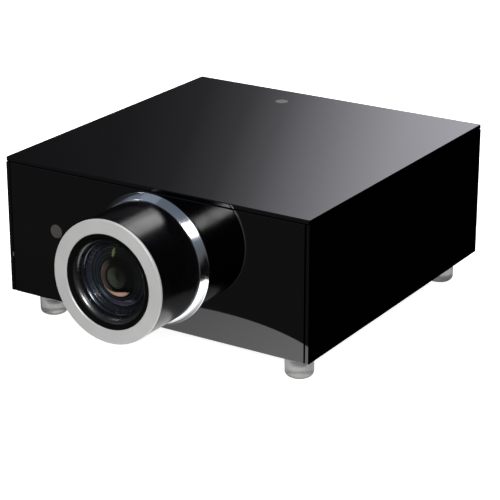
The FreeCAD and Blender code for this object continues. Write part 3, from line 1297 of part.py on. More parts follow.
def power_rocker():
    """Rocker of the mains switch, lying pressed at its upper end, with its axle."""
    x, y, z = rocker_middle()
    shape = outline([
        (y - 2.5, z - 3),
        (y + 3.4, z - 8.6),
        (y + 4.6, z - 8.6, y + 4.3, z - 9.0),
        (y + 4.6, z + 8.6, y + 2.9, z),
        (y + 3.4, z + 8.6, y + 4.3, z + 9.0),
        (y - 2.5, z + 3),
    ])
    body = Part.Face(shape).extrude(Vector(0, 0, 11.0))
    placement = FreeCAD.Matrix(0, 0, 1, x - 5.5, 1, 0, 0, 0, 0, 1, 0, 0, 0, 0, 0, 1)
    body = body.transformGeometry(placement)
    axle = rod(1.2, (x - 6.4, y, z), (x + 6.4, y, z))
    whole = fuse([body, axle])
    whole.rotate(Vector(x, y, z), Vector(1, 0, 0), ROCKER_TILT)
    return whole


def power_supply():
    """Supply board with its transformer, filter coils and capacitors."""
    x0, x1 = SUPPLY_LEFT, SUPPLY_RIGHT
    y0 = case_y(SUPPLY_FRONT)
    low = TRAY_TOP + SUPPLY_LIFT
    top = low + BOARD_THICK
    pieces = [
        box(x0, x1, y0, case_y(SUPPLY_BACK), low, top),
        box(x0 + 14, x0 + 50, y0 + 118, y0 + 160, top, top + 34),
        box(x0 + 6, x0 + 36, y0 + 190, y0 + 224, top, top + 26),
        box(x1 - 12, x1 - 8, y0 + 20, y0 + 120, top, top + 36),
    ]
    for n in range(3):
        y = y0 + 28 + 27 * n
        pieces.append(rod(11.0, (x0 + 16, y, top), (x0 + 16, y, top + 38)))
    for n in range(4):
        y = y0 + 165 + 15 * n
        pieces.append(rod(6.0, (x1 - 18, y, top), (x1 - 18, y, top + 20)))
    pieces += legs(x0 + 6, x1 - 6, SUPPLY_FRONT + 8, SUPPLY_BACK - 8, low)
    return Part.makeCompound([fuse(pieces), lamp_ballast()])


def lamp_ballast():
    """The lamp's ballast in a finned can on the tray."""
    high = TRAY_TOP + BALLAST_HIGH
    y0, y1 = case_y(BALLAST_FRONT), case_y(BALLAST_BACK)
    pieces = [box(BALLAST_LEFT, BALLAST_RIGHT, y0, y1, TRAY_TOP, high)]
    fins = int((y1 - y0 - 5) // FIN_PITCH) + 1
    for n in range(fins):
        y = y0 + 3 + FIN_PITCH * n
        pieces.append(box(BALLAST_LEFT + 2, BALLAST_RIGHT - 2, y, y + 2, high, high + 8))
    return fuse(pieces)


def screw_places():
    """Where each screw's head stands, and which way it points."""
    places = [((x, case_y(REAR), z), (0, 1, 0)) for x, z in REAR_SCREWS]
    for x in (-150, -60, 60, 150):
        for depth in (GLASS + 10, REAR - 12):
            places.append(((x, case_y(depth), TRAY_Z), (0, 0, -1)))
    return places


def screw_holes():
    """Cutters for the shanks of all the screws."""
    cutters = []
    for place, up in screw_places():
        way = Vector(*up)
        start = Vector(*place) - way * (SCREW_LENGTH + 1)
        cutters.append(Part.makeCylinder(SCREW_SHANK, SCREW_LENGTH + 1, start, way))
    return cutters


def panel_screws():
    """Cross-head screws round the rear panel and under the tray."""
    return Part.makeCompound([screw(place, up) for place, up in screw_places()])


def build():
    """Every named piece of the projector."""
    parts = {
        "base_tray": base_tray(),
        "top_glass": top_glass(),
        "front_glass": front_glass(),
        "left_glass": side_glass(-1),
        "right_glass": side_glass(1),
        "rear_panel": rear_panel(),
        "glass_frame": glass_frame(),
        "infrared_windows": infrared_windows(),
        "lens_mount": lens_mount(),
        "shift_rods": shift_rods(),
        "shift_screw": shift_screw(),
        "shift_carriage": shift_carriage(),
        "lens_tube": lens_tube(),
        "barrel_shroud": barrel_shroud(),
        "front_ring": front_ring(),
        "collar_ring": collar_ring(),
        "lens_hood": lens_hood(),
        "drive_motors": drive_motors(),
        "focus_gear": drive_gear(FOCUS_GEAR_Y),
        "focus_pinion": pinion(FOCUS_GEAR_Y, FOCUS_ANGLE),
        "focus_cell": focus_cell(),
        "front_element": front_element(),
        "retaining_ring": retaining_ring(),
        "zoom_gear": drive_gear(ZOOM_GEAR_Y),
        "zoom_pinion": pinion(ZOOM_GEAR_Y, ZOOM_ANGLE),
        "zoom_cell": zoom_cell(),
        "zoom_element": zoom_element(),
        "rear_element": rear_element(),
        "engine_housing": engine_housing(),
        "relay_optics": relay_optics(),
        "colour_wheel": colour_wheel(),
        "colour_wheel_motor": colour_wheel_motor(),
        "dmd_board": dmd_board(),
        "dmd_heatsink": dmd_heatsink(),
        "lamp_bay": lamp_bay(),
        "lamp_carrier": lamp_carrier(),
        "lamp_bulb": lamp_bulb(),
        "fan_frames": fan_frames(),
        "exhaust_fan_rotor": fan_rotor(*EXHAUST_PLACE),
        "intake_fan_rotor": fan_rotor(*INTAKE_PLACE),
        "main_board": main_board(),
        "power_supply": power_supply(),
        "connectors": connectors(),
        "power_inlet": power_inlet(),
        "power_switch": rocker_bezel(),
        "power_rocker": power_rocker(),
        "panel_screws": panel_screws(),
    }
    for name in ("base_tray", "rear_panel", "glass_frame"):
        parts[name] = cut(parts[name], screw_holes())
    for name, (x, depth) in FOOT_PLACES.items():
        parts["foot_pad_" + name] = foot_pad(x, depth)
        parts["foot_stud_" + name] = foot_stud(x, depth)
    return parts


def main():
    os.makedirs("parts", exist_ok=True)
    parts = build()
    for name, (x, z) in key_places().items():
        parts["key_" + name] = key(x, z)
    for name, shape in parts.items():
        shape.exportStep("parts/" + name + ".step")
        if not shape.isValid():
            print("not valid:", name)
    print(len(parts), "parts")


main()
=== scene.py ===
"""Looks of the home projector: black glass, a silver-ringed lens barrel, clear feet and a furnished back.

Everything is in the row frame, in metres: +Z up, and the lens looks along -Y.
`mm(n)` turns millimetres into metres.
Depths along the lens are measured behind its front face, the lowest Y of the CAD front ring.
"""

import math

import bpy
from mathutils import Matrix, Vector


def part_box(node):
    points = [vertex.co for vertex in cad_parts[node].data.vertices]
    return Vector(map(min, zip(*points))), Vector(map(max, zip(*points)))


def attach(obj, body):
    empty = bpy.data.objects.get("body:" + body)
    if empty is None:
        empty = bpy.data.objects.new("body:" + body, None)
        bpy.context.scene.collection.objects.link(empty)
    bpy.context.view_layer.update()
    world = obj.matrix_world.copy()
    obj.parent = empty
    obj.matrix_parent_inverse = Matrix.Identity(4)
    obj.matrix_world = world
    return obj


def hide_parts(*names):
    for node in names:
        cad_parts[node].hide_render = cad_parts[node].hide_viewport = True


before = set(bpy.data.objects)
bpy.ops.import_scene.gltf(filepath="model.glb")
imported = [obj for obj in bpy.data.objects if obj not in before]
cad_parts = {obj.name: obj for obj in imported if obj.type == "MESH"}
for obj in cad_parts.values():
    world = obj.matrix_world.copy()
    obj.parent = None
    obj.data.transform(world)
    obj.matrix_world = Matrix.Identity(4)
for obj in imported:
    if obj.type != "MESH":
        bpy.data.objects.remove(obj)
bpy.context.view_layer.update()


def mm(value):
    return value / 1000.0


# ---- Places read from the frame ----
RING_LOW, RING_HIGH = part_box("front_ring")
TOP_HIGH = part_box("top_glass")[1]
LENS_FACE = RING_LOW.y
AXIS_Z = (RING_LOW.z + RING_HIGH.z) / 2
CASE_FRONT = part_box("front_glass")[0].y
CASE_TOP = TOP_HIGH.z
CASE_HALF = TOP_HIGH.x
REAR_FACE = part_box("rear_panel")[1].y
RING_RADIUS = RING_HIGH.x


def lens_y(depth):
    """Y of a point so many millimetres behind the lens's front face."""
    return LENS_FACE + mm(depth)


# ---- Camera: the photograph's viewing angle ----
CAMERA_PLACE = Vector((1.3026, -2.0098, 0.9918))
CAMERA_TARGET = Vector((0.0005, 0.0480, 0.0677))
CAMERA_LENS = 136.4


def add_camera():
    data = bpy.data.cameras.new("photo_camera")
    data.lens = CAMERA_LENS
    data.sensor_width = 36.0
    data.clip_end = 50.0
    camera = bpy.data.objects.new("photo_camera", data)
    bpy.context.scene.collection.objects.link(camera)
    camera.location = CAMERA_PLACE
    camera.rotation_euler = (CAMERA_TARGET - CAMERA_PLACE).to_track_quat("-Z", "Y").to_euler()
    bpy.context.scene.camera = camera


# ---- Node helpers ----
class Nodes:
    """A material's node tree, with the Principled shader ready."""

    def __init__(self, name):
        self.material = bpy.data.materials.new(name)
        self.material.use_nodes = True
        self.tree = self.material.node_tree
        self.shader = self.tree.nodes["Principled BSDF"]
        self.where = self.add("ShaderNodeTexCoord").outputs["Object"]

    def add(self, kind, **settings):
        node = self.tree.nodes.new(kind)
        for key, value in settings.items():
            setattr(node, key, value)
        return node

    def link(self, source, target):
        self.tree.links.new(source, target)

    def set(self, **values):
        """Sets the shader's own sockets: base_color=..., coat_weight=..., and so on."""
        for key, value in values.items():
            name = SOCKETS.get(key, key.replace("_", " ").title())
            self.shader.inputs[name].default_value = value

    def noise(self, scale, detail=3.0, stretch=(1, 1, 1), distortion=0.0):
        mapping = self.add("ShaderNodeMapping")
        mapping.inputs["Scale"].default_value = stretch
        self.link(self.where, mapping.inputs["Vector"])
        node = self.add("ShaderNodeTexNoise")
        node.inputs["Scale"].default_value = scale
        node.inputs["Detail"].default_value = detail
        node.inputs["Distortion"].default_value = distortion
        self.link(mapping.outputs["Vector"], node.inputs["Vector"])
        return node.outputs["Fac"]

    def ramp(self, source, stops):
        """Maps a value through colour stops: (position, grey or colour)."""
        node = self.add("ShaderNodeValToRGB")
        elements = node.color_ramp.elements
        while len(elements) < len(stops):
            elements.new(0.5)
        for element, (position, value) in zip(elements, stops):
            element.position = position
            colour = value if isinstance(value, tuple) else (value, value, value)
            element.color = (*colour, 1.0)
        self.link(source, node.inputs["Fac"])
        return node.outputs["Color"]

    def math(self, operation, a, b):
        node = self.add("ShaderNodeMath", operation=operation)
        for socket, value in zip(node.inputs, (a, b)):
            if isinstance(value, (int, float)):
                socket.default_value = value
            else:
                self.link(value, socket)
        return node.outputs["Value"]

    def limit(self, source):
        """Holds a value between 0 and 1."""
        node = self.add("ShaderNodeClamp")
        self.link(source, node.inputs["Value"])
        return node.outputs["Result"]

    def spread(self, source, low, high):
        """Maps 0..1 to low..high."""
        node = self.add("ShaderNodeMapRange")
        node.inputs["From Min"].default_value = 0.3
        node.inputs["From Max"].default_value = 0.7
        node.inputs["To Min"].default_value = low
        node.inputs["To Max"].default_value = high
        self.link(source, node.inputs["Value"])
        return node.outputs["Result"]

    def blend(self, amount, first, second):
        """Mixes two colours: 0 gives the first, 1 the second."""
        node = self.add("ShaderNodeMix", data_type="RGBA")
        self.link(amount, node.inputs["Factor"])
        for socket, value in ((node.inputs[6], first), (node.inputs[7], second)):
            if isinstance(value, tuple):
                socket.default_value = (*value, 1.0)
            else:
                self.link(value, socket)
        return node.outputs[2]

    def bump(self, height, distance, strength=1.0):
        node = self.add("ShaderNodeBump")
        node.inputs["Distance"].default_value = distance
        node.inputs["Strength"].default_value = strength
        self.link(height, node.inputs["Height"])
        return node.outputs["Normal"]

    def across_lens(self):
        """X and Z of the surface, counted from the lens axis."""
        shift = self.add("ShaderNodeVectorMath", operation="SUBTRACT")
        shift.inputs[1].default_value = (0.0, 0.0, AXIS_Z)
        self.link(self.where, shift.inputs[0])
        split = self.add("ShaderNodeSeparateXYZ")
        self.link(shift.outputs["Vector"], split.inputs["Vector"])
        return split.outputs["X"], split.outputs["Z"]

    def lens_radius(self):
        """Distance from the lens axis, which reaches 1 at 50 mm."""
        x, z = self.across_lens()
        squares = self.math("ADD", self.math("MULTIPLY", x, x), self.math("MULTIPLY", z, z))
        return self.math("DIVIDE", self.math("SQRT", squares, 0.0), mm(50))

    def lens_angle(self):
        """Angle round the lens axis as 0 to 1: 0 at +X, 0.25 at the top, 0.75 at the bottom."""
        x, z = self.across_lens()
        turn = self.math("DIVIDE", self.math("ARCTAN2", z, x), 2 * math.pi)
        return self.math("FRACT", self.math("ADD", turn, 1.0), 0.0)

    def use(self, **sources):
        for key, source in sources.items():
            name = SOCKETS.get(key, key.replace("_", " ").title())
            self.link(source, self.shader.inputs[name])


SOCKETS = {"ior": "IOR", "specular": "Specular IOR Level", "base": "Base Color"}


# ---- Materials ----
def black_glass(name):
    """Back-painted plate glass: near-black, mirror smooth, with faint wiping marks and a little dust."""
    m = Nodes(name)
    m.set(ior=1.5, specular=0.65)
    wipes = m.noise(9.0, 5.0, (1.0, 2.2, 1.4), 0.6)
    fine = m.noise(420.0, 2.0)
    m.use(roughness=m.math("ADD", m.spread(wipes, 0.010, 0.030), m.spread(fine, 0.0, 0.006)))
    tint = (0.0006, 0.0006, 0.0007)
    dust = m.ramp(m.noise(1500.0, 1.0), [(0.0, tint), (0.78, tint), (0.84, (0.012, 0.012, 0.012))])
    m.use(base=dust)
    m.use(normal=m.bump(m.noise(2.2, 1.0), 0.00005))
    return m.material


def window_smoke():
    """Smoked window over an infrared receiver. Painted shade: darker facing forwards, away from the light,
    lighter on top.
    """
    m = Nodes("window_smoke")
    m.set(ior=1.46, specular=0.4)
    split = m.add("ShaderNodeSeparateXYZ")
    m.link(m.where, split.inputs["Vector"])
    facing_up = m.math("GREATER_THAN", split.outputs["Z"], CASE_TOP - mm(2))
    cloud = m.noise(30.0, 4.0)
    # painted shade: the front window gets a darker copy of the colour, the top window a lighter one
    shaded_front = m.ramp(cloud, [(0.3, (0.085, 0.077, 0.072)), (0.75, (0.100, 0.091, 0.086))])
    lit_top = m.ramp(cloud, [(0.3, (0.155, 0.137, 0.127)), (0.75, (0.19, 0.17, 0.16))])
    m.use(base=m.blend(facing_up, shaded_front, lit_top))
    m.use(roughness=m.spread(cloud, 0.25, 0.37))
    m.use(normal=m.bump(m.noise(900.0, 2.0), 0.00001, 0.8))
    return m.material


def satin_aluminium(name, colour, roughness):
    """Bead-blasted and anodised aluminium: fine, even sparkle and soft brightness changes."""
    m = Nodes(name)
    m.set(metallic=1.0)
    blast = m.noise(3800.0, 2.0)
    cloud = m.noise(26.0, 3.0)
    dark = tuple(c * 0.93 for c in colour)
    m.use(base=m.ramp(cloud, [(0.3, dark), (0.7, colour)]))
    soft = m.spread(cloud, roughness - 0.03, roughness + 0.03)
    m.use(roughness=m.math("ADD", soft, m.spread(blast, -0.02, 0.03)))
    m.use(normal=m.bump(blast, 0.00002, 0.6))
    return m.material


def ring_silver():
    """Satin silver of the front ring: its rim is painted black where the barrel begins."""
    m = Nodes("satin_silver")
    m.set(metallic=0.35)
    blast = m.noise(3800.0, 2.0)
    cloud = m.noise(26.0, 3.0)
    split = m.add("ShaderNodeSeparateXYZ")
    m.link(m.where, split.inputs["Vector"])
    depth = m.math("SUBTRACT", split.outputs["Y"], lens_y(0))
    painted = m.math("GREATER_THAN", depth, mm(3.4))
    silver = m.ramp(cloud, [(0.3, (0.465, 0.465, 0.46)), (0.7, (0.50, 0.50, 0.494))])
    m.use(base=m.blend(painted, silver, (0.001, 0.001, 0.001)))
    m.use(roughness=m.math("ADD", m.spread(cloud, 0.39, 0.45), m.spread(blast, -0.02, 0.03)))
    m.use(normal=m.bump(blast, 0.00002, 0.6))
    return m.material


def polished_metal(name, colour, roughness, stretch):
    """Polished metal with hairlines drawn out by `stretch`, and faint handling marks."""
    m = Nodes(name)
    m.set(metallic=1.0)
    lines = m.noise(60.0, 2.0, stretch)
    marks = m.noise(34.0, 4.0)
    m.use(base=m.ramp(marks, [(0.3, tuple(c * 0.96 for c in colour)), (0.7, colour)]))
    m.use(roughness=m.math("ADD", m.spread(marks, roughness, roughness + 0.05), m.spread(lines, 0.0, 0.02)))
    m.use(normal=m.bump(lines, 0.00001, 0.25))
    return m.material


def lacquer(name):
    """Black lacquer with soft haze, and fine lines that run along the barrel."""
    m = Nodes(name)
    m.set(ior=1.5)
    colour = (0.0008, 0.0008, 0.0009)
    roughness = 0.21
    haze = m.noise(40.0, 4.0)
    m.use(base=m.ramp(haze, [(0.3, colour), (0.7, tuple(c * 1.6 for c in colour))]))
    m.use(roughness=m.spread(haze, roughness * 0.85, roughness * 1.2))
    m.use(normal=m.bump(m.noise(160.0, 2.0, (1, 0.04, 1)), 0.00004, 0.5))
    return m.material


def moulded_plastic(name, colour, roughness=0.42, grain=1800.0, depth=0.00006, specular=0.5, wear=0.002):
    """Textured moulding or powder coat: fine grain, with cloudy patches slightly lighter by `wear`."""
    m = Nodes(name)
    m.set(ior=1.46, specular=specular)
    rough_grain = m.noise(grain, 2.0)
    cloud = m.noise(30.0, 4.0)
    lighter = tuple(c * 1.35 + wear for c in colour)
    m.use(base=m.ramp(cloud, [(0.3, colour), (0.75, lighter)]))
    m.use(roughness=m.spread(cloud, roughness - 0.05, roughness + 0.07))
    m.use(normal=m.bump(rough_grain, depth, 0.8))
    return m.material


def plain_metal(name, colour, roughness=0.3, metallic=1.0):
    """Sheet or turned metal, brushed across its height."""
    m = Nodes(name)
    m.set(metallic=metallic)
    lines = m.noise(90.0, 3.0, (1, 1, 40))
    cloud = m.noise(22.0, 3.0)
    m.use(base=m.ramp(cloud, [(0.3, tuple(c * 0.85 for c in colour)), (0.7, colour)]))
    brushed = m.spread(lines, roughness - 0.06, roughness + 0.08)
    m.use(roughness=m.math("ADD", brushed, m.spread(cloud, -0.02, 0.03)))
    m.use(normal=m.bump(lines, 0.00003, 0.4))
    return m.material


def clear_acrylic(name):
    """Clear grey moulded foot: softly frosted, with faint flow marks inside."""
    m = Nodes(name)
    m.set(ior=1.38, transmission_weight=0.70)
    cloud = m.noise(60.0, 3.0)
    m.use(base=m.ramp(cloud, [(0.3, (0.34, 0.336, 0.332)), (0.7, (0.46, 0.455, 0.45))]))
    m.use(roughness=m.spread(cloud, 0.26, 0.40))
    m.use(normal=m.bump(m.noise(120.0, 2.0), 0.00005, 0.5))
    return m.material


def coated_glass(name, tint, strength):
    """Clear lens: a weak mirror in the coating's colour, with the tube behind showing through."""
    m = Nodes(name)
    m.set(metallic=1.0)
    haze = m.noise(70.0, 3.0)
    m.use(base=m.ramp(haze, [(0.3, tint), (0.7, tuple(c * 0.9 for c in tint))]))
    m.use(roughness=m.spread(haze, 0.0, 0.015))
    m.use(alpha=m.spread(haze, strength, strength * 1.15))
    return m.material


def deep_lens(name, colour, tint):
    """Inner lens: its coating tints the gloss, and its middle is faintly coloured."""
    m = Nodes(name)
    m.set(ior=1.6, specular=0.6)
    m.shader.inputs["Specular Tint"].default_value = (*tint, 1.0)
    haze = m.noise(90.0, 3.0)
    m.use(base=m.ramp(haze, [(0.3, colour), (0.7, tuple(c * 0.8 for c in colour))]))
    m.use(roughness=m.spread(haze, 0.03, 0.07))
    return m.material


def second_lens():
    """Lens behind the front one. Its colour is painted light: dim rings, shown on the left and low down, and
    coloured crescents low down stand in for reflections in its coatings.
    """
    m = Nodes("second_lens_painted_light")
    m.set(ior=1.6, specular=0.28)
    m.shader.inputs["Specular Tint"].default_value = (0.80, 0.88, 0.35, 1.0)
    radius = m.lens_radius()
    turn = m.lens_angle()
    # painted reflections: dim rings and lines at set distances from the axis
    black, line = (0.0012, 0.0012, 0.0016), (0.030, 0.034, 0.042)
    rings = m.ramp(radius, [
        (0.00, (0.020, 0.028, 0.018)), (0.20, (0.026, 0.033, 0.022)), (0.252, (0.030, 0.034, 0.026)),
        (0.262, black), (0.276, (0.040, 0.035, 0.030)), (0.292, black), (0.545, black),
        (0.560, (0.020, 0.021, 0.024)), (0.60, (0.010, 0.011, 0.014)), (0.625, black), (0.640, line),
        (0.665, (0.008, 0.010, 0.013)), (0.725, (0.014, 0.018, 0.024)), (0.745, black),
        (0.760, (0.042, 0.047, 0.056)), (0.785, (0.008, 0.010, 0.012)), (0.84, (0.014, 0.017, 0.020))])
    # painted shade: the rings show fully on the left and at the bottom, and fade to black above and to the
    # right
    near = m.ramp(turn, [(0.0, 0.20), (0.12, 0.10), (0.20, 0.10), (0.28, 0.30), (0.36, 0.55), (0.44, 0.9),
                         (0.55, 1.0), (0.72, 0.9), (0.84, 0.45), (0.95, 0.25)])
    shown = m.blend(near, black, rings)
    # painted reflection: a dim brown band on the left and lower left
    brown_reflection = m.ramp(radius, [(0.325, 0.0), (0.345, 0.5), (0.43, 0.75), (0.485, 1.0), (0.512, 0.0)])
    brown_reflection_side = m.ramp(turn, [(0.31, 0.0), (0.37, 0.45), (0.44, 1.0), (0.60, 1.0), (0.68, 0.5), (0.76, 0.0)])
    shown = m.blend(m.math("MULTIPLY", brown_reflection, brown_reflection_side), shown, (0.052, 0.040, 0.034))
    # painted reflection: a copper crescent low down
    inner = m.ramp(turn, [(0.57, 0.505), (0.64, 0.46), (0.72, 0.40), (0.79, 0.372), (0.85, 0.41),
                          (0.90, 0.51)])
    copper_reflection = m.math("MULTIPLY", m.math("SUBTRACT", radius, inner), 45.0)
    inside = m.ramp(radius, [(0.485, 1.0), (0.512, 0.0)])
    copper_reflection = m.math("MULTIPLY", m.limit(copper_reflection), inside)
    low = m.ramp(turn, [(0.56, 0.0), (0.60, 0.25), (0.66, 0.7), (0.75, 1.0), (0.84, 0.8), (0.90, 0.0)])
    shown = m.blend(m.math("MULTIPLY", copper_reflection, low), shown, (0.36, 0.225, 0.17))
    # painted reflection: a purple crescent at the bottom
    purple_reflection = m.ramp(radius, [(0.625, 0.0), (0.65, 0.8), (0.67, 0.3), (0.73, 0.55), (0.755, 1.0), (0.77, 0.0)])
    under = m.ramp(turn, [(0.64, 0.0), (0.70, 0.8), (0.77, 1.0), (0.84, 0.5), (0.88, 0.0)])
    shown = m.blend(m.math("MULTIPLY", purple_reflection, under), shown, (0.060, 0.050, 0.095))
    # painted highlight: a blue patch low on the left
    blue_highlight = m.ramp(radius, [(0.62, 0.0), (0.66, 0.6), (0.70, 1.0), (0.73, 0.4), (0.75, 0.0)])
    left = m.ramp(turn, [(0.575, 0.0), (0.61, 0.6), (0.645, 1.0), (0.69, 0.0)])
    shown = m.blend(m.math("MULTIPLY", blue_highlight, left), shown, (0.075, 0.12, 0.165))
    m.use(base=shown)
    m.use(roughness=m.spread(m.noise(90.0, 3.0), 0.04, 0.08))
    return m.material


def flare_gloss():
    """Satin black gloss of the lens hood's flare."""
    m = Nodes("hood_gloss")
    m.set(ior=2.0)
    cloud = m.noise(60.0, 3.0)
    m.use(base=m.ramp(cloud, [(0.3, (0.0006, 0.0006, 0.0007)), (0.7, (0.0011, 0.0011, 0.0012))]))
    m.use(roughness=m.spread(cloud, 0.25, 0.31))
    m.use(normal=m.bump(m.noise(900.0, 2.0), 0.00001, 0.4))
    return m.material


def seat_painted_reflection(name, dark, stops, roughness):
    """Blackened seat inside the lens. Painted reflection: its colour changes round the lens, as the
    neighbouring glass's coatings would reflect on it.
    """
    m = Nodes(name)
    m.set(ior=1.5, specular=0.6)
    cloud = m.noise(110.0, 3.0)
    # painted reflection: the colour follows the angle round the lens
    colour = m.ramp(m.lens_angle(), [(place, dark if value is None else value) for place, value in stops])
    m.use(base=colour)
    m.use(roughness=m.spread(cloud, roughness - 0.05, roughness + 0.07))
    m.use(normal=m.bump(m.noise(900.0, 2.0), 0.000004, 0.4))
    return m.material


def anodised(name, colour=(0.012, 0.012, 0.014), roughness=0.34):
    """Black anodised turning."""
    m = Nodes(name)
    m.set(metallic=0.35, ior=1.5)
    cloud = m.noise(80.0, 3.0)
    m.use(base=m.ramp(cloud, [(0.3, colour), (0.7, tuple(c * 1.5 for c in colour))]))
    m.use(roughness=m.spread(cloud, roughness - 0.05, roughness + 0.08))
    m.use(normal=m.bump(m.noise(900.0, 2.0), 0.00003, 0.5))
    return m.material


# ---- Mesh helpers ----
def mesh_object(name, vertices, faces, material, angle=35.0):
    mesh = bpy.data.meshes.new(name)
    mesh.from_pydata([tuple(v) for v in vertices], [], faces)
    mesh.validate()
    mesh.materials.append(material)
    made = bpy.data.objects.new(name, mesh)
    bpy.context.scene.collection.objects.link(made)
    mesh.shade_smooth()
    mesh.set_sharp_from_angle(angle=math.radians(angle))
    return made


def lathe(name, profile, material, steps=256, centre=(0.0, None), closed=True, angle=25.0):
    """Turns (radius mm, depth mm) points about a line along Y. Radius 0 closes at the axis."""
    cx = centre[0]
    cz = AXIS_Z if centre[1] is None else centre[1]
    vertices, rings = [], []
    for radius, depth in profile:
        if radius <= 1e-6:
            rings.append([len(vertices)])
            vertices.append((cx, lens_y(depth), cz))
            continue
        ring = []
        for n in range(steps):
            turn = 2 * math.pi * n / steps
            ring.append(len(vertices))
            x = cx + mm(radius) * math.cos(turn)
            z = cz + mm(radius) * math.sin(turn)
            vertices.append((x, lens_y(depth), z))
        rings.append(ring)
    faces = []
    pairs = list(zip(rings, rings[1:]))
    if closed and len(rings[0]) > 1 and len(rings[-1]) > 1:
        pairs.append((rings[-1], rings[0]))
    for a, b in pairs:
        for n in range(steps):
            k = (n + 1) % steps
            if len(a) == 1 and len(b) == 1:
                continue
            if len(a) == 1:
                faces.append((a[0], b[k], b[n]))
            elif len(b) == 1:
                faces.append((a[n], a[k], b[0]))
            else:
                faces.append((a[n], a[k], b[k], b[n]))
    return mesh_object(name, vertices, faces, material, angle)


def arc_points(start, end, bulge, count=10):
    """Points of an arc between two (radius, depth) points.

    `bulge` is its rise, to the left of the way travelled.
    """
    (r0, d0), (r1, d1) = start, end
    chord = math.hypot(r1 - r0, d1 - d0)
    radius = (chord * chord / 4 + bulge * bulge) / (2 * abs(bulge))
    half = math.asin(min(1.0, chord / 2 / radius))
    ux, uy = (r1 - r0) / chord, (d1 - d0) / chord
    nx, ny = -uy, ux
    side = 1.0 if bulge > 0 else -1.0
    points = []
    for n in range(count + 1):
        angle = -half + 2 * half * n / count
        along = chord / 2 + radius * math.sin(angle)
        rise = side * (radius * math.cos(angle) - radius * math.cos(half))
        points.append((r0 + ux * along + nx * rise, d0 + uy * along + ny * rise))
    return points


def cap_points(radius, rim_depth, crown_depth, count=24):
    """Spherical cap from the axis to its rim."""
    sag = rim_depth - crown_depth
    sphere = (radius * radius + sag * sag) / (2 * abs(sag))
    side = 1.0 if sag > 0 else -1.0
    points = []
    for n in range(count + 1):
        r = radius * n / count
        points.append((r, crown_depth + side * (sphere - math.sqrt(sphere * sphere - r * r))))
    return points


# ---- Lens ----
COLLAR_FRONT = 84.0
GLASS_DEPTH = 96.0
BARREL_R = 80.6
COLLAR_R = 88.0
RING_BORE = 62.5
THROAT = 51.6
HOOD_STEP = 7.0
LIP_R = 49.0
ELEMENT_R = 48.3
SECOND_R = 42.65
CELL_R = 51.0
BAFFLE_STEPS = 3
BAFFLE_RISE = 1.3
BAFFLE_LENGTH = 0.62


def ring_piece():
    """Silver front ring: flat satin face and bright narrow bevels."""
    outer = RING_RADIUS * 1000
    profile = [(RING_BORE, 5.0), (RING_BORE, 1.1)]
    profile += arc_points((RING_BORE, 1.1), (RING_BORE + 0.9, 0.0), -0.1, 3)[1:]
    profile += arc_points((outer - 0.8, 0.0), (outer, 0.8), -0.2, 4)
    profile += [(outer, 5.0)]
    ring = lathe("front_ring_face", profile, MATERIALS["silver"], 320, angle=12)
    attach(ring, "lens")
    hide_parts("front_ring")


def barrel_piece():
    bore = BARREL_R - 2.6
    profile = [(bore, 5.0), (BARREL_R, 5.0), (BARREL_R, COLLAR_FRONT + 2), (BARREL_R, 94.0),
               (50.4, 94.0), (50.4, 90.0), (bore, 90.0)]
    barrel = lathe("barrel_tube", profile, MATERIALS["barrel"], 320)
    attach(barrel, "lens")
    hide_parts("barrel_shroud")


def collar_piece():
    """Polished flared collar: narrow bright lip in front, then one smooth cone out to its widest edge."""
    profile = [(BARREL_R, COLLAR_FRONT), (BARREL_R + 0.5, COLLAR_FRONT)]
    profile += arc_points((BARREL_R + 0.5, COLLAR_FRONT), (BARREL_R + 1.3, COLLAR_FRONT + 0.6), -0.12, 4)[1:]
    wide = (COLLAR_R - 0.2, GLASS_DEPTH - 1.4)
    profile += arc_points((BARREL_R + 1.3, COLLAR_FRONT + 0.6), wide, -0.25, 8)[1:]
    profile += arc_points(wide, (COLLAR_R, GLASS_DEPTH - 0.9), -0.08, 3)[1:]
    profile += [(COLLAR_R - 0.4, GLASS_DEPTH - 0.5), (BARREL_R, GLASS_DEPTH - 0.5)]
    collar = lathe("collar_cone", profile, MATERIALS["collar"], 320, angle=20)
    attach(collar, "lens")
    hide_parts("collar_ring")


def hood_piece():
    """Matt step behind the silver ring, then the gloss flare down to its lip, just outside the front lens."""
    step = RING_BORE - HOOD_STEP
    seat = [(step, 4.9), (step, 4.4), (step + 0.5, 2.8), (RING_BORE - 0.05, 1.8), (RING_BORE - 0.05, 4.9)]
    ledge = lathe("hood_step", seat, MATERIALS["hood_matt"], 256, angle=30)
    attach(ledge, "lens")
    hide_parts("lens_hood")

    front = [(RING_BORE - 0.05, 4.9), (step, 4.9)]
    front += arc_points((step - 0.02, 4.4), (LIP_R, 12.2), 1.56, 30)
    back = [(LIP_R, 12.5), (THROAT, 12.6), (THROAT, 29.0), (50.1, 29.0), (50.1, 37.0), (54.0, 37.0),
            (54.0, 18.0), (60.0, 9.0), (74.8, 7.5), (74.8, 5.2), (RING_BORE - 0.05, 5.2)]
    hood = lathe("lens_flare", front + back, MATERIALS["hood"], 256, angle=30)
    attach(hood, "lens")
    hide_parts("lens_hood")


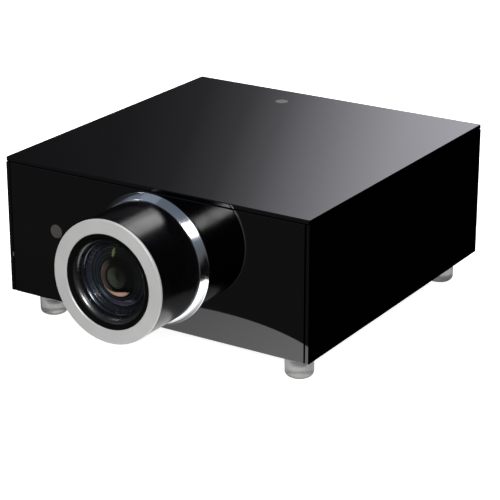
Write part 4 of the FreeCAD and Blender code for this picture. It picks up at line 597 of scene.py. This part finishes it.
def focus_group():
    """Front cell: slim retaining ring, two coated lenses, and the stepped light baffles between them."""
    retainer = [(ELEMENT_R - 0.7, 15.0), (ELEMENT_R, 15.0), (ELEMENT_R, 18.5), (ELEMENT_R - 2.2, 17.9)]
    retainer += arc_points((ELEMENT_R - 2.2, 17.0), (ELEMENT_R - 0.7, 15.0), -0.15, 5)
    piece = lathe("retainer_rim", retainer, MATERIALS["bright_rim"], 256)
    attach(piece, "focus_group")
    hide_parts("retaining_ring")

    front = cap_points(ELEMENT_R - 0.1, 18.6, 15.8, 32)
    back = cap_points(ELEMENT_R - 0.1, 22.6, 18.0, 32)
    faces = front + list(reversed(back))
    glass = lathe("front_lens", faces, MATERIALS["front_lens"], 192, closed=False, angle=40)
    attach(glass, "focus_group")
    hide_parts("front_element")

    front = cap_points(SECOND_R, 26.6, 18.8, 48)
    back = cap_points(SECOND_R, 33.0, 31.4, 16)
    faces = front + list(reversed(back))
    second = lathe("second_lens", faces, MATERIALS["second_lens"], 192, closed=False, angle=40)
    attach(second, "focus_group")
    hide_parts("front_element")

    wall = [(CELL_R - 0.4, 15.4), (CELL_R, 15.8), (CELL_R, 25.0), (45.8, 25.0), (45.8, 42.0), (36.5, 42.0)]
    wall += [(36.5, 40.5), (38.9, 39.0), (38.9, 36.0), (40.7, 36.0), (40.7, 33.0), (SECOND_R + 0.05, 33.0)]
    wall += [(SECOND_R + 0.05, 25.4), (SECOND_R + 0.5, 24.9), (SECOND_R + 1.0, 24.9)]
    for n in range(BAFFLE_STEPS):
        radius = SECOND_R + 1.0 + n * BAFFLE_RISE
        depth = 24.9 - n * BAFFLE_LENGTH
        wall += arc_points((radius, depth - 0.25), (radius + 0.4, depth - BAFFLE_LENGTH + 0.1), 0.08, 3)
        wall += [(radius + BAFFLE_RISE, depth - BAFFLE_LENGTH)]
    wall += [(ELEMENT_R - 0.6, 22.9), (ELEMENT_R, 22.7), (ELEMENT_R, 15.4)]
    cell = lathe("focus_cell_wall", wall, MATERIALS["baffle"], 192)
    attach(cell, "focus_group")
    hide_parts("focus_cell")


def zoom_group():
    """Second cell: a black anodised cone in front of its lens, which closes the view into the tube."""
    outer = [(38.0, 53.0), (38.0, 78.0), (28.05, 78.0), (28.05, 74.0), (30.5, 74.0), (30.5, 63.2),
             (33.0, 63.2), (33.0, 58.4), (27.3, 56.6)]
    cone = arc_points((27.5, 56.0), (36.2, 52.5), 0.35, 8)
    lip = arc_points((36.6, 52.3), (38.0, 53.0), 0.3, 4)
    cell = lathe("zoom_cell_wall", outer + cone + lip[:-1], MATERIALS["cell"], 192)
    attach(cell, "zoom_group")
    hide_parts("zoom_cell")
    front = cap_points(32.9, 58.0, 53.8, 28)
    back = cap_points(32.9, 63.0, 60.6, 28)
    faces = front + list(reversed(back))
    glass = lathe("zoom_lens", faces, MATERIALS["green_lens"], 160, closed=False, angle=40)
    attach(glass, "zoom_group")
    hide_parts("zoom_element")


# ---- Rear details. Places are in millimetres, X across and Z up. ----
REAR_DEPTH = (REAR_FACE - LENS_FACE) * 1000.0      # from the lens face to the rear panel's outer face
BOARD_TOP = 101.6
COMPONENT_SOCKETS = ((-61.0, "ring_green"), (-49.0, "ring_blue"), (-37.0, "ring_red"))
SIGNAL_Z = BOARD_TOP + 8.0
JACK_X = -27.0
JACK_Z = BOARD_TOP + 6.0
# D-shaped sockets: middle, contacts in each row, and the insert's material.
DSUB_PLACES = ((-121.0, (5, 5, 5), "insert_blue"), (-86.0, (5, 4), "insert_black"))
DSUB_Z = BOARD_TOP + 6.15
# Flat sockets: name, middle, height above the board, number of contacts and their pitch.
TONGUES = (
    ("video_a", -202.0, 6.2, 9, 1.05),
    ("video_b", -183.0, 6.2, 9, 1.05),
    ("network", -164.0, 13.6, 8, 1.02),
    ("data", -145.0, 11.0, 4, 1.5),
)
INLET_X = -188.0
KEYPAD_X = -62.0
UPPER_Z = 172.0
KEY_PITCH = 15.0
LAMP_X = 158.0
ARROWS = {"key_up": (0, 1), "key_down": (0, -1), "key_left": (1, 0), "key_right": (-1, 0)}


def prism(name, outline, back, front, material, body, chamfer):
    """Solid on an (x, z) outline in mm, between two distances out of the rear panel's outer face."""
    cx = sum(p[0] for p in outline) / len(outline)
    cz = sum(p[1] for p in outline) / len(outline)
    shrunk = []
    for x, z in outline:
        reach = math.hypot(x - cx, z - cz)
        factor = (reach - chamfer) / reach
        shrunk.append((cx + (x - cx) * factor, cz + (z - cz) * factor))
    layers = [(outline, back), (outline, front - chamfer), (shrunk, front)]
    vertices = [(mm(x), REAR_FACE + mm(depth), mm(z)) for points, depth in layers for x, z in points]
    count = len(outline)
    faces = [tuple(range(count)), tuple(reversed(range(count * (len(layers) - 1), count * len(layers))))]
    for k in range(len(layers) - 1):
        for n in range(count):
            m = (n + 1) % count
            faces.append((k * count + n, (k + 1) * count + n, (k + 1) * count + m, k * count + m))
    made = mesh_object(name, vertices, faces, MATERIALS[material], 30)
    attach(made, body)
    return made


def rectangle(x, z, half_x, half_z):
    left, right, low, high = x - half_x, x + half_x, z - half_z, z + half_z
    return [(left, low), (right, low), (right, high), (left, high)]


def rear_ring(name, x, z, profile, material, body, steps=48, angle=30):
    """Turned ring on the rear panel. The profile is (radius, distance out of the panel)."""
    points = [(radius, REAR_DEPTH + out) for radius, out in profile]
    made = lathe(name, points, MATERIALS[material], steps, (mm(x), mm(z)), True, angle)
    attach(made, body)
    return made


def component_sockets():
    """Coloured collar and ivory centre of each coaxial socket, and the headphone-size jack's nut."""
    collar = [(4.2, 0.05), (5.3, 0.05), (5.3, 1.2), (4.9, 1.6), (4.2, 1.6)]
    centre = [(1.25, 0.0), (3.0, 7.5), (3.0, 7.56), (1.25, 7.56)]
    lip = [(4.16, 6.4), (4.4, 6.5), (4.4, 7.3), (4.16, 7.5)]
    for x, colour in COMPONENT_SOCKETS:
        name = colour.replace("ring_", "")
        rear_ring("socket_collar_" + name, x, SIGNAL_Z, collar, colour, "case")
        rear_ring("socket_centre_" + name, x, SIGNAL_Z, centre, "insert_ivory", "case")
        rear_ring("socket_lip_" + name, x, SIGNAL_Z, lip, "gold", "case")
    nut = [(3.45, 0.05), (4.6, 0.05), (4.6, 0.9), (4.2, 1.3), (3.45, 1.3)]
    lining = [(1.55, -6.0), (1.8, -6.0), (3.0, 1.5), (3.0, 1.56), (1.55, 1.56)]
    rear_ring("jack_nut", JACK_X, JACK_Z, nut, "steel", "case", 6, 20)
    rear_ring("jack_lining", JACK_X, JACK_Z, lining, "gold", "case")


def dsub_inserts():
    """Moulded insert in each D-shaped shell, with its rows of contacts."""
    contact = [(0.34, 6.3), (0.72, 6.3), (0.62, 6.5), (0.34, 6.45)]
    for x, rows, material in DSUB_PLACES:
        low, high = DSUB_Z - 3.5, DSUB_Z + 3.6
        shape = [(x - 6.9, low), (x + 6.9, low), (x + 8.2, high), (x - 8.2, high)]
        prism("dsub_insert_%d" % -x, shape, 5.9, 6.35, material, "case", 0.2)
        for row, count in enumerate(rows):
            z = DSUB_Z + (len(rows) - 1) * 1.05 - row * 2.1
            for n in range(count):
                shift = 0.6 if row % 2 and len(rows) == 3 else 0.0
                px = x + (n - (count - 1) / 2) * 2.5 + shift
                name = "dsub_contact_%d_%d_%d" % (-x, row, n)
                rear_ring(name, px, z, contact, "gold", "case", 12)


def board_contacts():
    """Gold strips on the tongues of the flat sockets."""
    for name, x, high, count, pitch in TONGUES:
        middle = BOARD_TOP + high / 2
        for n in range(count):
            strip = rectangle(x + (n - (count - 1) / 2) * pitch, middle + 0.72, 0.28, 0.14)
            prism("contact_%s_%d" % (name, n), strip, -10.0, -2.4, "gold", "case", 0.05)


def inlet_pins():
    """Nickel sleeves of the mains inlet's three pins, with chamfered tips."""
    for n, (dx, dz) in enumerate(((-7, -2), (7, -2), (0, 2))):
        sleeve = rectangle(INLET_X + dx, UPPER_Z + dz, 1.08, 2.08)
        prism("inlet_pin_%d" % n, sleeve, -15.9, -1.8, "steel", "case", 0.35)


def key_marks():
    """Raised arrow on each direction key, a ring on the middle one, and a printed ring round them."""
    for name, (dx, dz) in ARROWS.items():
        x, z = KEYPAD_X + dx * KEY_PITCH, UPPER_Z + dz * KEY_PITCH
        tip = (x + dx * 1.9, z + dz * 1.9)
        left = (x - dx * 0.9 - dz * 1.7, z - dz * 0.9 + dx * 1.7)
        right = (x - dx * 0.9 + dz * 1.7, z - dz * 0.9 - dx * 1.7)
        prism(name + "_mark", [tip, left, right], 2.1, 2.62, "mark", name, 0.08)
    middle = [(1.5, 2.2), (2.2, 2.2), (2.15, 2.58), (1.55, 2.58)]
    around = [(24.4, 0.0), (24.9, 0.0), (24.85, 0.12), (24.45, 0.12)]
    rear_ring("key_select_mark", KEYPAD_X, UPPER_Z, middle, "mark", "key_select")
    rear_ring("keypad_outline", KEYPAD_X, UPPER_Z, around, "mark", "case", 128)


def lamp_screw_caps():
    """Knurled sleeves of the lamp door's two captive screws."""
    for side in (-51.0, 51.0):
        x, z = LAMP_X + side, AXIS_Z * 1000.0 - 53.0
        outline = []
        for n in range(64):
            radius = 5.0 if n % 2 else 4.72
            turn = 2 * math.pi * n / 64
            outline.append((x + radius * math.cos(turn), z + radius * math.sin(turn)))
        name = "lamp_screw_cap_" + ("left" if side < 0 else "right")
        prism(name, outline, 2.4, 5.8, "steel", "lamp_module", 0.4)


def rear_details():
    component_sockets()
    dsub_inserts()
    board_contacts()
    inlet_pins()
    key_marks()
    lamp_screw_caps()


# ---- Which material each CAD node wears ----
def dress(materials):
    groups = {
        "glass": ["top_glass", "front_glass", "left_glass", "right_glass"],
        "frame": ["glass_frame"],
        "tray": ["base_tray"],
        "rear": ["rear_panel"],
        "window": ["infrared_windows"],
        "carriage": ["lens_mount", "shift_carriage"],
        "steel": ["shift_rods", "shift_screw", "connectors"],
        "anodised": ["lens_tube"],
        "motor": ["drive_motors", "colour_wheel_motor"],
        "nylon": ["focus_gear", "focus_pinion", "zoom_gear", "zoom_pinion"],
        "green_lens": ["rear_element", "relay_optics"],
        "engine": ["engine_housing"],
        "filters": ["colour_wheel"],
        "board": ["dmd_board", "main_board", "power_supply"],
        "heat_sink": ["dmd_heatsink"],
        "bay": ["lamp_bay"],
        "lamp": ["lamp_carrier"],
        "reflector": ["lamp_bulb"],
        "fan": ["fan_frames", "exhaust_fan_rotor", "intake_fan_rotor"],
        "moulding": ["power_inlet", "power_switch"],
        "key": ["power_rocker"],
        "screws": ["panel_screws"],
    }
    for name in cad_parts:
        if name.startswith("foot_pad"):
            groups.setdefault("foot", []).append(name)
        elif name.startswith("foot_stud"):
            groups["steel"].append(name)
        elif name.startswith("key_"):
            groups["key"].append(name)
    for key, names in groups.items():
        for name in names:
            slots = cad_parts[name].material_slots
            for slot in slots:
                slot.material = materials[key]
            if not slots:
                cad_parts[name].data.materials.append(materials[key])


def make_materials():
    return {
        "glass": black_glass("black_glass"),
        "frame": moulded_plastic("frame_coat", (0.012, 0.012, 0.013), 0.4),
        "tray": moulded_plastic("tray_coat", (0.02, 0.02, 0.022), 0.45, 1400.0, 0.0001),
        "rear": moulded_plastic("rear_coat", (0.040, 0.040, 0.043), 0.40, 1500.0, 0.00012),
        "window": window_smoke(),
        "carriage": plain_metal("machined_alloy", (0.60, 0.61, 0.62), 0.32),
        "steel": plain_metal("ground_steel", (0.62, 0.63, 0.65), 0.24),
        "anodised": anodised("black_anodised"),
        "motor": plain_metal("motor_can", (0.42, 0.43, 0.45), 0.3),
        "nylon": moulded_plastic("gear_nylon", (0.62, 0.60, 0.53), 0.45),
        "front_lens": coated_glass("front_coating", (0.55, 0.60, 0.80), 0.012),
        "second_lens": second_lens(),
        "green_lens": deep_lens("green_coating", (0.035, 0.048, 0.036), (0.80, 0.90, 0.35)),
        "cell": anodised("cell_black"),
        # painted reflection: the baffle turns lighter and bluer on the left and lower left
        "baffle": seat_painted_reflection("baffle_black", (0.002, 0.002, 0.0025), [
            (0.0, None), (0.33, None), (0.40, (0.010, 0.012, 0.016)), (0.55, (0.014, 0.018, 0.026)),
            (0.70, (0.008, 0.010, 0.014)), (0.85, None)], 0.26),
        "engine": anodised("engine_casting", (0.05, 0.05, 0.055), 0.5),
        "filters": plain_metal("filter_segments", (0.45, 0.40, 0.62), 0.08),
        "board": moulded_plastic("board_lacquer", (0.010, 0.09, 0.035), 0.3),
        "heat_sink": plain_metal("extruded_alloy", (0.58, 0.59, 0.60), 0.36),
        "bay": plain_metal("galvanised_sheet", (0.55, 0.56, 0.57), 0.34),
        "lamp": moulded_plastic("lamp_coat", (0.034, 0.034, 0.037), 0.42, 1500.0, 0.00012),
        "reflector": plain_metal("dichroic_reflector", (0.60, 0.55, 0.48), 0.12),
        "fan": moulded_plastic("fan_moulding", (0.012, 0.012, 0.013), 0.45),
        "moulding": moulded_plastic("socket_moulding", (0.010, 0.010, 0.011), 0.38),
        "key": moulded_plastic("key_moulding", (0.012, 0.012, 0.013), 0.24, 1200.0, 0.00003),
        "screws": plain_metal("zinc_screws", (0.36, 0.36, 0.37), 0.34, metallic=0.9),
        "gold": polished_metal("sockets", (0.83, 0.62, 0.30), 0.16, (60, 1, 1)),
        "insert_blue": moulded_plastic("insert_blue", (0.012, 0.045, 0.20), 0.40, 1600.0, 0.00003),
        "insert_black": moulded_plastic("insert_black", (0.009, 0.009, 0.010), 0.42, 1600.0, 0.00003),
        "insert_ivory": moulded_plastic("insert_ivory", (0.55, 0.53, 0.46), 0.40, 1600.0, 0.00003),
        "ring_green": moulded_plastic("ring_green", (0.02, 0.17, 0.045), 0.36, 1600.0, 0.00003),
        "ring_blue": moulded_plastic("ring_blue", (0.015, 0.06, 0.30), 0.36, 1600.0, 0.00003),
        "ring_red": moulded_plastic("ring_red", (0.32, 0.018, 0.015), 0.36, 1600.0, 0.00003),
        "mark": moulded_plastic("printed_mark", (0.50, 0.50, 0.49), 0.50, 2200.0, 0.00001),
        "foot": clear_acrylic("clear_foot"),
        "silver": ring_silver(),
        "barrel": lacquer("barrel_lacquer"),
        "collar": polished_metal("polished_collar", (0.84, 0.86, 0.90), 0.11, (1, 60, 1)),
        "hood": flare_gloss(),
        "hood_matt": moulded_plastic("hood_matt", (0.0006, 0.0006, 0.0007), 0.62, 1500.0, 0.00002, 0.12, 0.0),
        "bright_rim": satin_aluminium("rim_grey", (0.10, 0.11, 0.125), 0.24),
    }


# ---- Studio ----
def stage_material(name, colour, strength=None, base=(0.0, 0.0, 0.0)):
    """Plain floor or glowing card."""
    made = bpy.data.materials.new(name)
    made.use_nodes = True
    tree = made.node_tree
    shader = tree.nodes["Principled BSDF"]
    shader.inputs["Base Color"].default_value = (*base, 1)
    shader.inputs["Roughness"].default_value = 0.8
    shader.inputs["Specular IOR Level"].default_value = 0.0
    if strength is not None:
        shader.inputs["Emission Color"].default_value = (*colour, 1)
        shader.inputs["Emission Strength"].default_value = strength
    return made


def stage_mesh(name, vertices, faces, material):
    mesh = bpy.data.meshes.new(name)
    mesh.from_pydata(vertices, [], faces)
    mesh.materials.append(material)
    made = bpy.data.objects.new(name, mesh)
    bpy.context.scene.collection.objects.link(made)
    return made


def hide_from(thing, camera=False, glossy=False, shadow=False, transmission=False):
    """Hides a stage piece from diffuse light, and from each other kind of ray that is named."""
    thing.visible_diffuse = False
    if camera:
        thing.visible_camera = False
    if glossy:
        thing.visible_glossy = False
    if shadow:
        thing.visible_shadow = False
    if transmission:
        thing.visible_transmission = False


def glow_patch(name, outline, left, right):
    """Flat patch at the floor's height that only mirrors see. Its glow goes from `left` to `right`."""
    left_end, right_end = -0.02, 0.17
    made = stage_material(name, (1.0, 1.0, 1.0), left)
    tree = made.node_tree
    where = tree.nodes.new("ShaderNodeTexCoord")
    split = tree.nodes.new("ShaderNodeSeparateXYZ")
    across = tree.nodes.new("ShaderNodeMapRange")
    across.inputs["From Min"].default_value = left_end
    across.inputs["From Max"].default_value = right_end
    across.inputs["To Min"].default_value = left
    across.inputs["To Max"].default_value = right
    tree.links.new(where.outputs["Object"], split.inputs["Vector"])
    tree.links.new(split.outputs["X"], across.inputs["Value"])
    tree.links.new(across.outputs["Result"], tree.nodes["Principled BSDF"].inputs["Emission Strength"])
    patch = stage_mesh(name, outline, [tuple(range(len(outline)))], made)
    hide_from(patch, camera=True, shadow=True, transmission=True)


def add_floor():
    """Overexposed white table top as the camera sees it. The glass mirrors only the part near the lens."""
    size, level = 12.0, -0.0005
    corners = [(-size, -size, level), (size, -size, level), (size, size, level), (-size, size, level)]
    floor_material = stage_material("white_floor", (1.0, 1.0, 1.0), 0.9, (0.80, 0.80, 0.80))
    floor = stage_mesh("floor", corners, [(0, 1, 2, 3)], floor_material)
    hide_from(floor, glossy=True)
    table_radius, table_middle, left_edge, steps = 0.360, 0.016, -0.05, 48
    start = math.acos((-CASE_FRONT) / table_radius)
    first = math.asin(-left_edge / table_radius)
    rim = [(left_edge, CASE_FRONT, 0.0)]
    for n in range(steps + 1):
        angle = -math.pi / 2 - first + (start + first) * n / steps
        rim.append((table_radius * math.cos(angle), table_radius * math.sin(angle) + table_middle, 0.0))
    glow_patch("table_front", rim, 1.45, 2.15)
    left, back = -0.2, 0.05
    under = [(left, CASE_FRONT, 0), (CASE_HALF, CASE_FRONT, 0), (CASE_HALF, back, 0), (left, back, 0)]
    glow_patch("table_under", under, 0.9, 0.9)


def add_softbox(name, azimuth, elevation, distance, width, height, radiance, colour=(1, 1, 1), glossy=True,
                round_edge=False):
    """Area light aimed at the lens. Azimuth is from the lens's direction towards +X, in degrees."""
    az, el = math.radians(azimuth), math.radians(elevation)
    towards = Vector((math.sin(az) * math.cos(el), -math.cos(az) * math.cos(el), math.sin(el)))
    target = Vector((0, -0.15, 0.13))
    data = bpy.data.lights.new(name, "AREA")
    data.shape = "ELLIPSE" if round_edge else "RECTANGLE"
    data.size = width
    data.size_y = height
    data.energy = radiance * math.pi * width * height
    data.color = colour
    light = bpy.data.objects.new(name, data)
    bpy.context.scene.collection.objects.link(light)
    light.location = target + towards * distance
    light.rotation_euler = (-towards).to_track_quat("-Z", "Y").to_euler()
    light.visible_camera = False
    light.visible_glossy = glossy
    return light


def spare_glass(lights):
    """Keeps the small bright lamps out of the glass, where other views would show them as white patches."""
    panels = bpy.data.collections.new("glass_panels")
    for name in ("top_glass", "front_glass", "left_glass", "right_glass", "infrared_windows"):
        panels.objects.link(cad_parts[name])
    for entry in panels.collection_objects:
        entry.light_linking.link_state = "EXCLUDE"
    for light in lights:
        light.light_linking.receiver_collection = panels


def add_back_card():
    """Large soft reflector behind. It brightens from left to right, along lines that lean with its height."""
    y = 2.0
    low, high, left, right = 0.55, 1.35, -2.6, -0.2
    made = bpy.data.materials.new("back_card")
    made.use_nodes = True
    tree = made.node_tree
    shader = tree.nodes["Principled BSDF"]
    shader.inputs["Base Color"].default_value = (0, 0, 0, 1)
    where = tree.nodes.new("ShaderNodeTexCoord")
    split = tree.nodes.new("ShaderNodeSeparateXYZ")
    tree.links.new(where.outputs["Object"], split.inputs["Vector"])
    lean = tree.nodes.new("ShaderNodeMath")
    lean.operation = "MULTIPLY_ADD"
    lean.inputs[1].default_value = 0.45
    tree.links.new(split.outputs["Z"], lean.inputs[0])
    tree.links.new(split.outputs["X"], lean.inputs[2])
    across = tree.nodes.new("ShaderNodeMapRange")
    across.inputs["From Min"].default_value = -1.54
    across.inputs["From Max"].default_value = -0.14
    tree.links.new(lean.outputs["Value"], across.inputs["Value"])
    fade = tree.nodes.new("ShaderNodeValToRGB")
    stops = [(0.0, 0.016), (0.25, 0.026), (0.39, 0.048), (0.49, 0.104), (0.57, 0.215), (0.68, 0.47),
             (0.82, 0.83), (1.0, 1.13)]
    elements = fade.color_ramp.elements
    while len(elements) < len(stops):
        elements.new(0.5)
    for element, (place, value) in zip(elements, stops):
        element.position = place
        element.color = (value, value, value, 1)
    tree.links.new(across.outputs["Result"], fade.inputs["Fac"])
    product = tree.nodes.new("ShaderNodeMath")
    product.operation = "MULTIPLY"
    product.inputs[1].default_value = 1.57
    tree.links.new(fade.outputs["Color"], product.inputs[0])
    shader.inputs["Emission Color"].default_value = (0.985, 0.975, 1.06, 1)
    tree.links.new(product.outputs["Value"], shader.inputs["Emission Strength"])
    card = stage_mesh("back_card", [(left, y, low), (right, y, low), (right, y, high), (left, y, high)],
                      [(0, 1, 2, 3)], made)
    hide_from(card, camera=True, shadow=True)


def add_world():
    """White for the camera, pale for soft light. Mirrors see a dim room in front and above, black behind."""
    world = bpy.data.worlds.new("studio")
    world.use_nodes = True
    tree = world.node_tree
    where = tree.nodes.new("ShaderNodeTexCoord")
    lean = tree.nodes.new("ShaderNodeVectorMath")
    lean.operation = "DOT_PRODUCT"
    lean.inputs[1].default_value = (0.0, -0.6, 0.8)
    tree.links.new(where.outputs["Generated"], lean.inputs[0])
    fade = tree.nodes.new("ShaderNodeMapRange")
    fade.inputs["From Min"].default_value = 0.0
    fade.inputs["From Max"].default_value = 0.16
    tree.links.new(lean.outputs["Value"], fade.inputs["Value"])
    split = tree.nodes.new("ShaderNodeSeparateXYZ")
    tree.links.new(where.outputs["Generated"], split.inputs["Vector"])
    tint = tree.nodes.new("ShaderNodeValToRGB")
    tint.color_ramp.elements[0].color = (0.092, 0.092, 0.092, 1)
    tint.color_ramp.elements[1].position = 0.5
    tint.color_ramp.elements[1].color = (0.115, 0.135, 0.17, 1)
    tree.links.new(split.outputs["Z"], tint.inputs["Fac"])
    room = tree.nodes["Background"]
    tree.links.new(tint.outputs["Color"], room.inputs["Color"])
    tree.links.new(fade.outputs["Result"], room.inputs["Strength"])
    white = tree.nodes.new("ShaderNodeBackground")
    white.inputs["Color"].default_value = (1, 1, 1, 1)
    fill = tree.nodes.new("ShaderNodeBackground")
    fill.inputs["Color"].default_value = (0.8, 0.8, 0.8, 1)
    path = tree.nodes.new("ShaderNodeLightPath")
    mix = tree.nodes.new("ShaderNodeMixShader")
    mix_fill = tree.nodes.new("ShaderNodeMixShader")
    output = tree.nodes["World Output"]
    tree.links.new(path.outputs["Is Diffuse Ray"], mix_fill.inputs["Fac"])
    tree.links.new(room.outputs["Background"], mix_fill.inputs[1])
    tree.links.new(fill.outputs["Background"], mix_fill.inputs[2])
    tree.links.new(path.outputs["Is Camera Ray"], mix.inputs["Fac"])
    tree.links.new(mix_fill.outputs["Shader"], mix.inputs[1])
    tree.links.new(white.outputs["Background"], mix.inputs[2])
    tree.links.new(mix.outputs["Shader"], output.inputs["Surface"])
    bpy.context.scene.world = world


def add_studio():
    add_world()
    add_floor()
    add_back_card()
    right = add_softbox("right_box", 72, 43, 1.7, 0.65, 0.62, 4.0)
    key = add_softbox("key_box", 26, 28, 1.8, 0.46, 0.32, 50.0)
    left = add_softbox("left_box", -76, 45, 1.9, 0.28, 0.22, 8.0)
    add_softbox("top_fill", 0, 88, 2.2, 1.5, 1.5, 1.0, glossy=False)
    barrel = add_softbox("barrel_box", -172, 42, 2.3, 1.15, 0.70, 1.7)
    core = add_softbox("barrel_core", -175, 41, 2.3, 0.70, 0.36, 2.2)
    add_softbox("rear_fill", 165, 38, 2.4, 1.3, 0.9, 5.0, glossy=False)
    add_softbox("sky_box", -95, 62, 2.2, 1.2, 1.0, 0.13, (0.75, 0.88, 1.0))
    reflex = add_softbox("reflex_box", -37, 4, 1.4, 0.09, 0.22, 2.6, (1.0, 1.0, 0.8), round_edge=True)
    spare_glass([right, key, left, barrel, core, reflex])
    bpy.context.scene.view_settings.view_transform = "Standard"


add_camera()
MATERIALS = make_materials()
dress(MATERIALS)
ring_piece()
barrel_piece()
collar_piece()
hood_piece()
focus_group()
zoom_group()
rear_details()
add_studio()
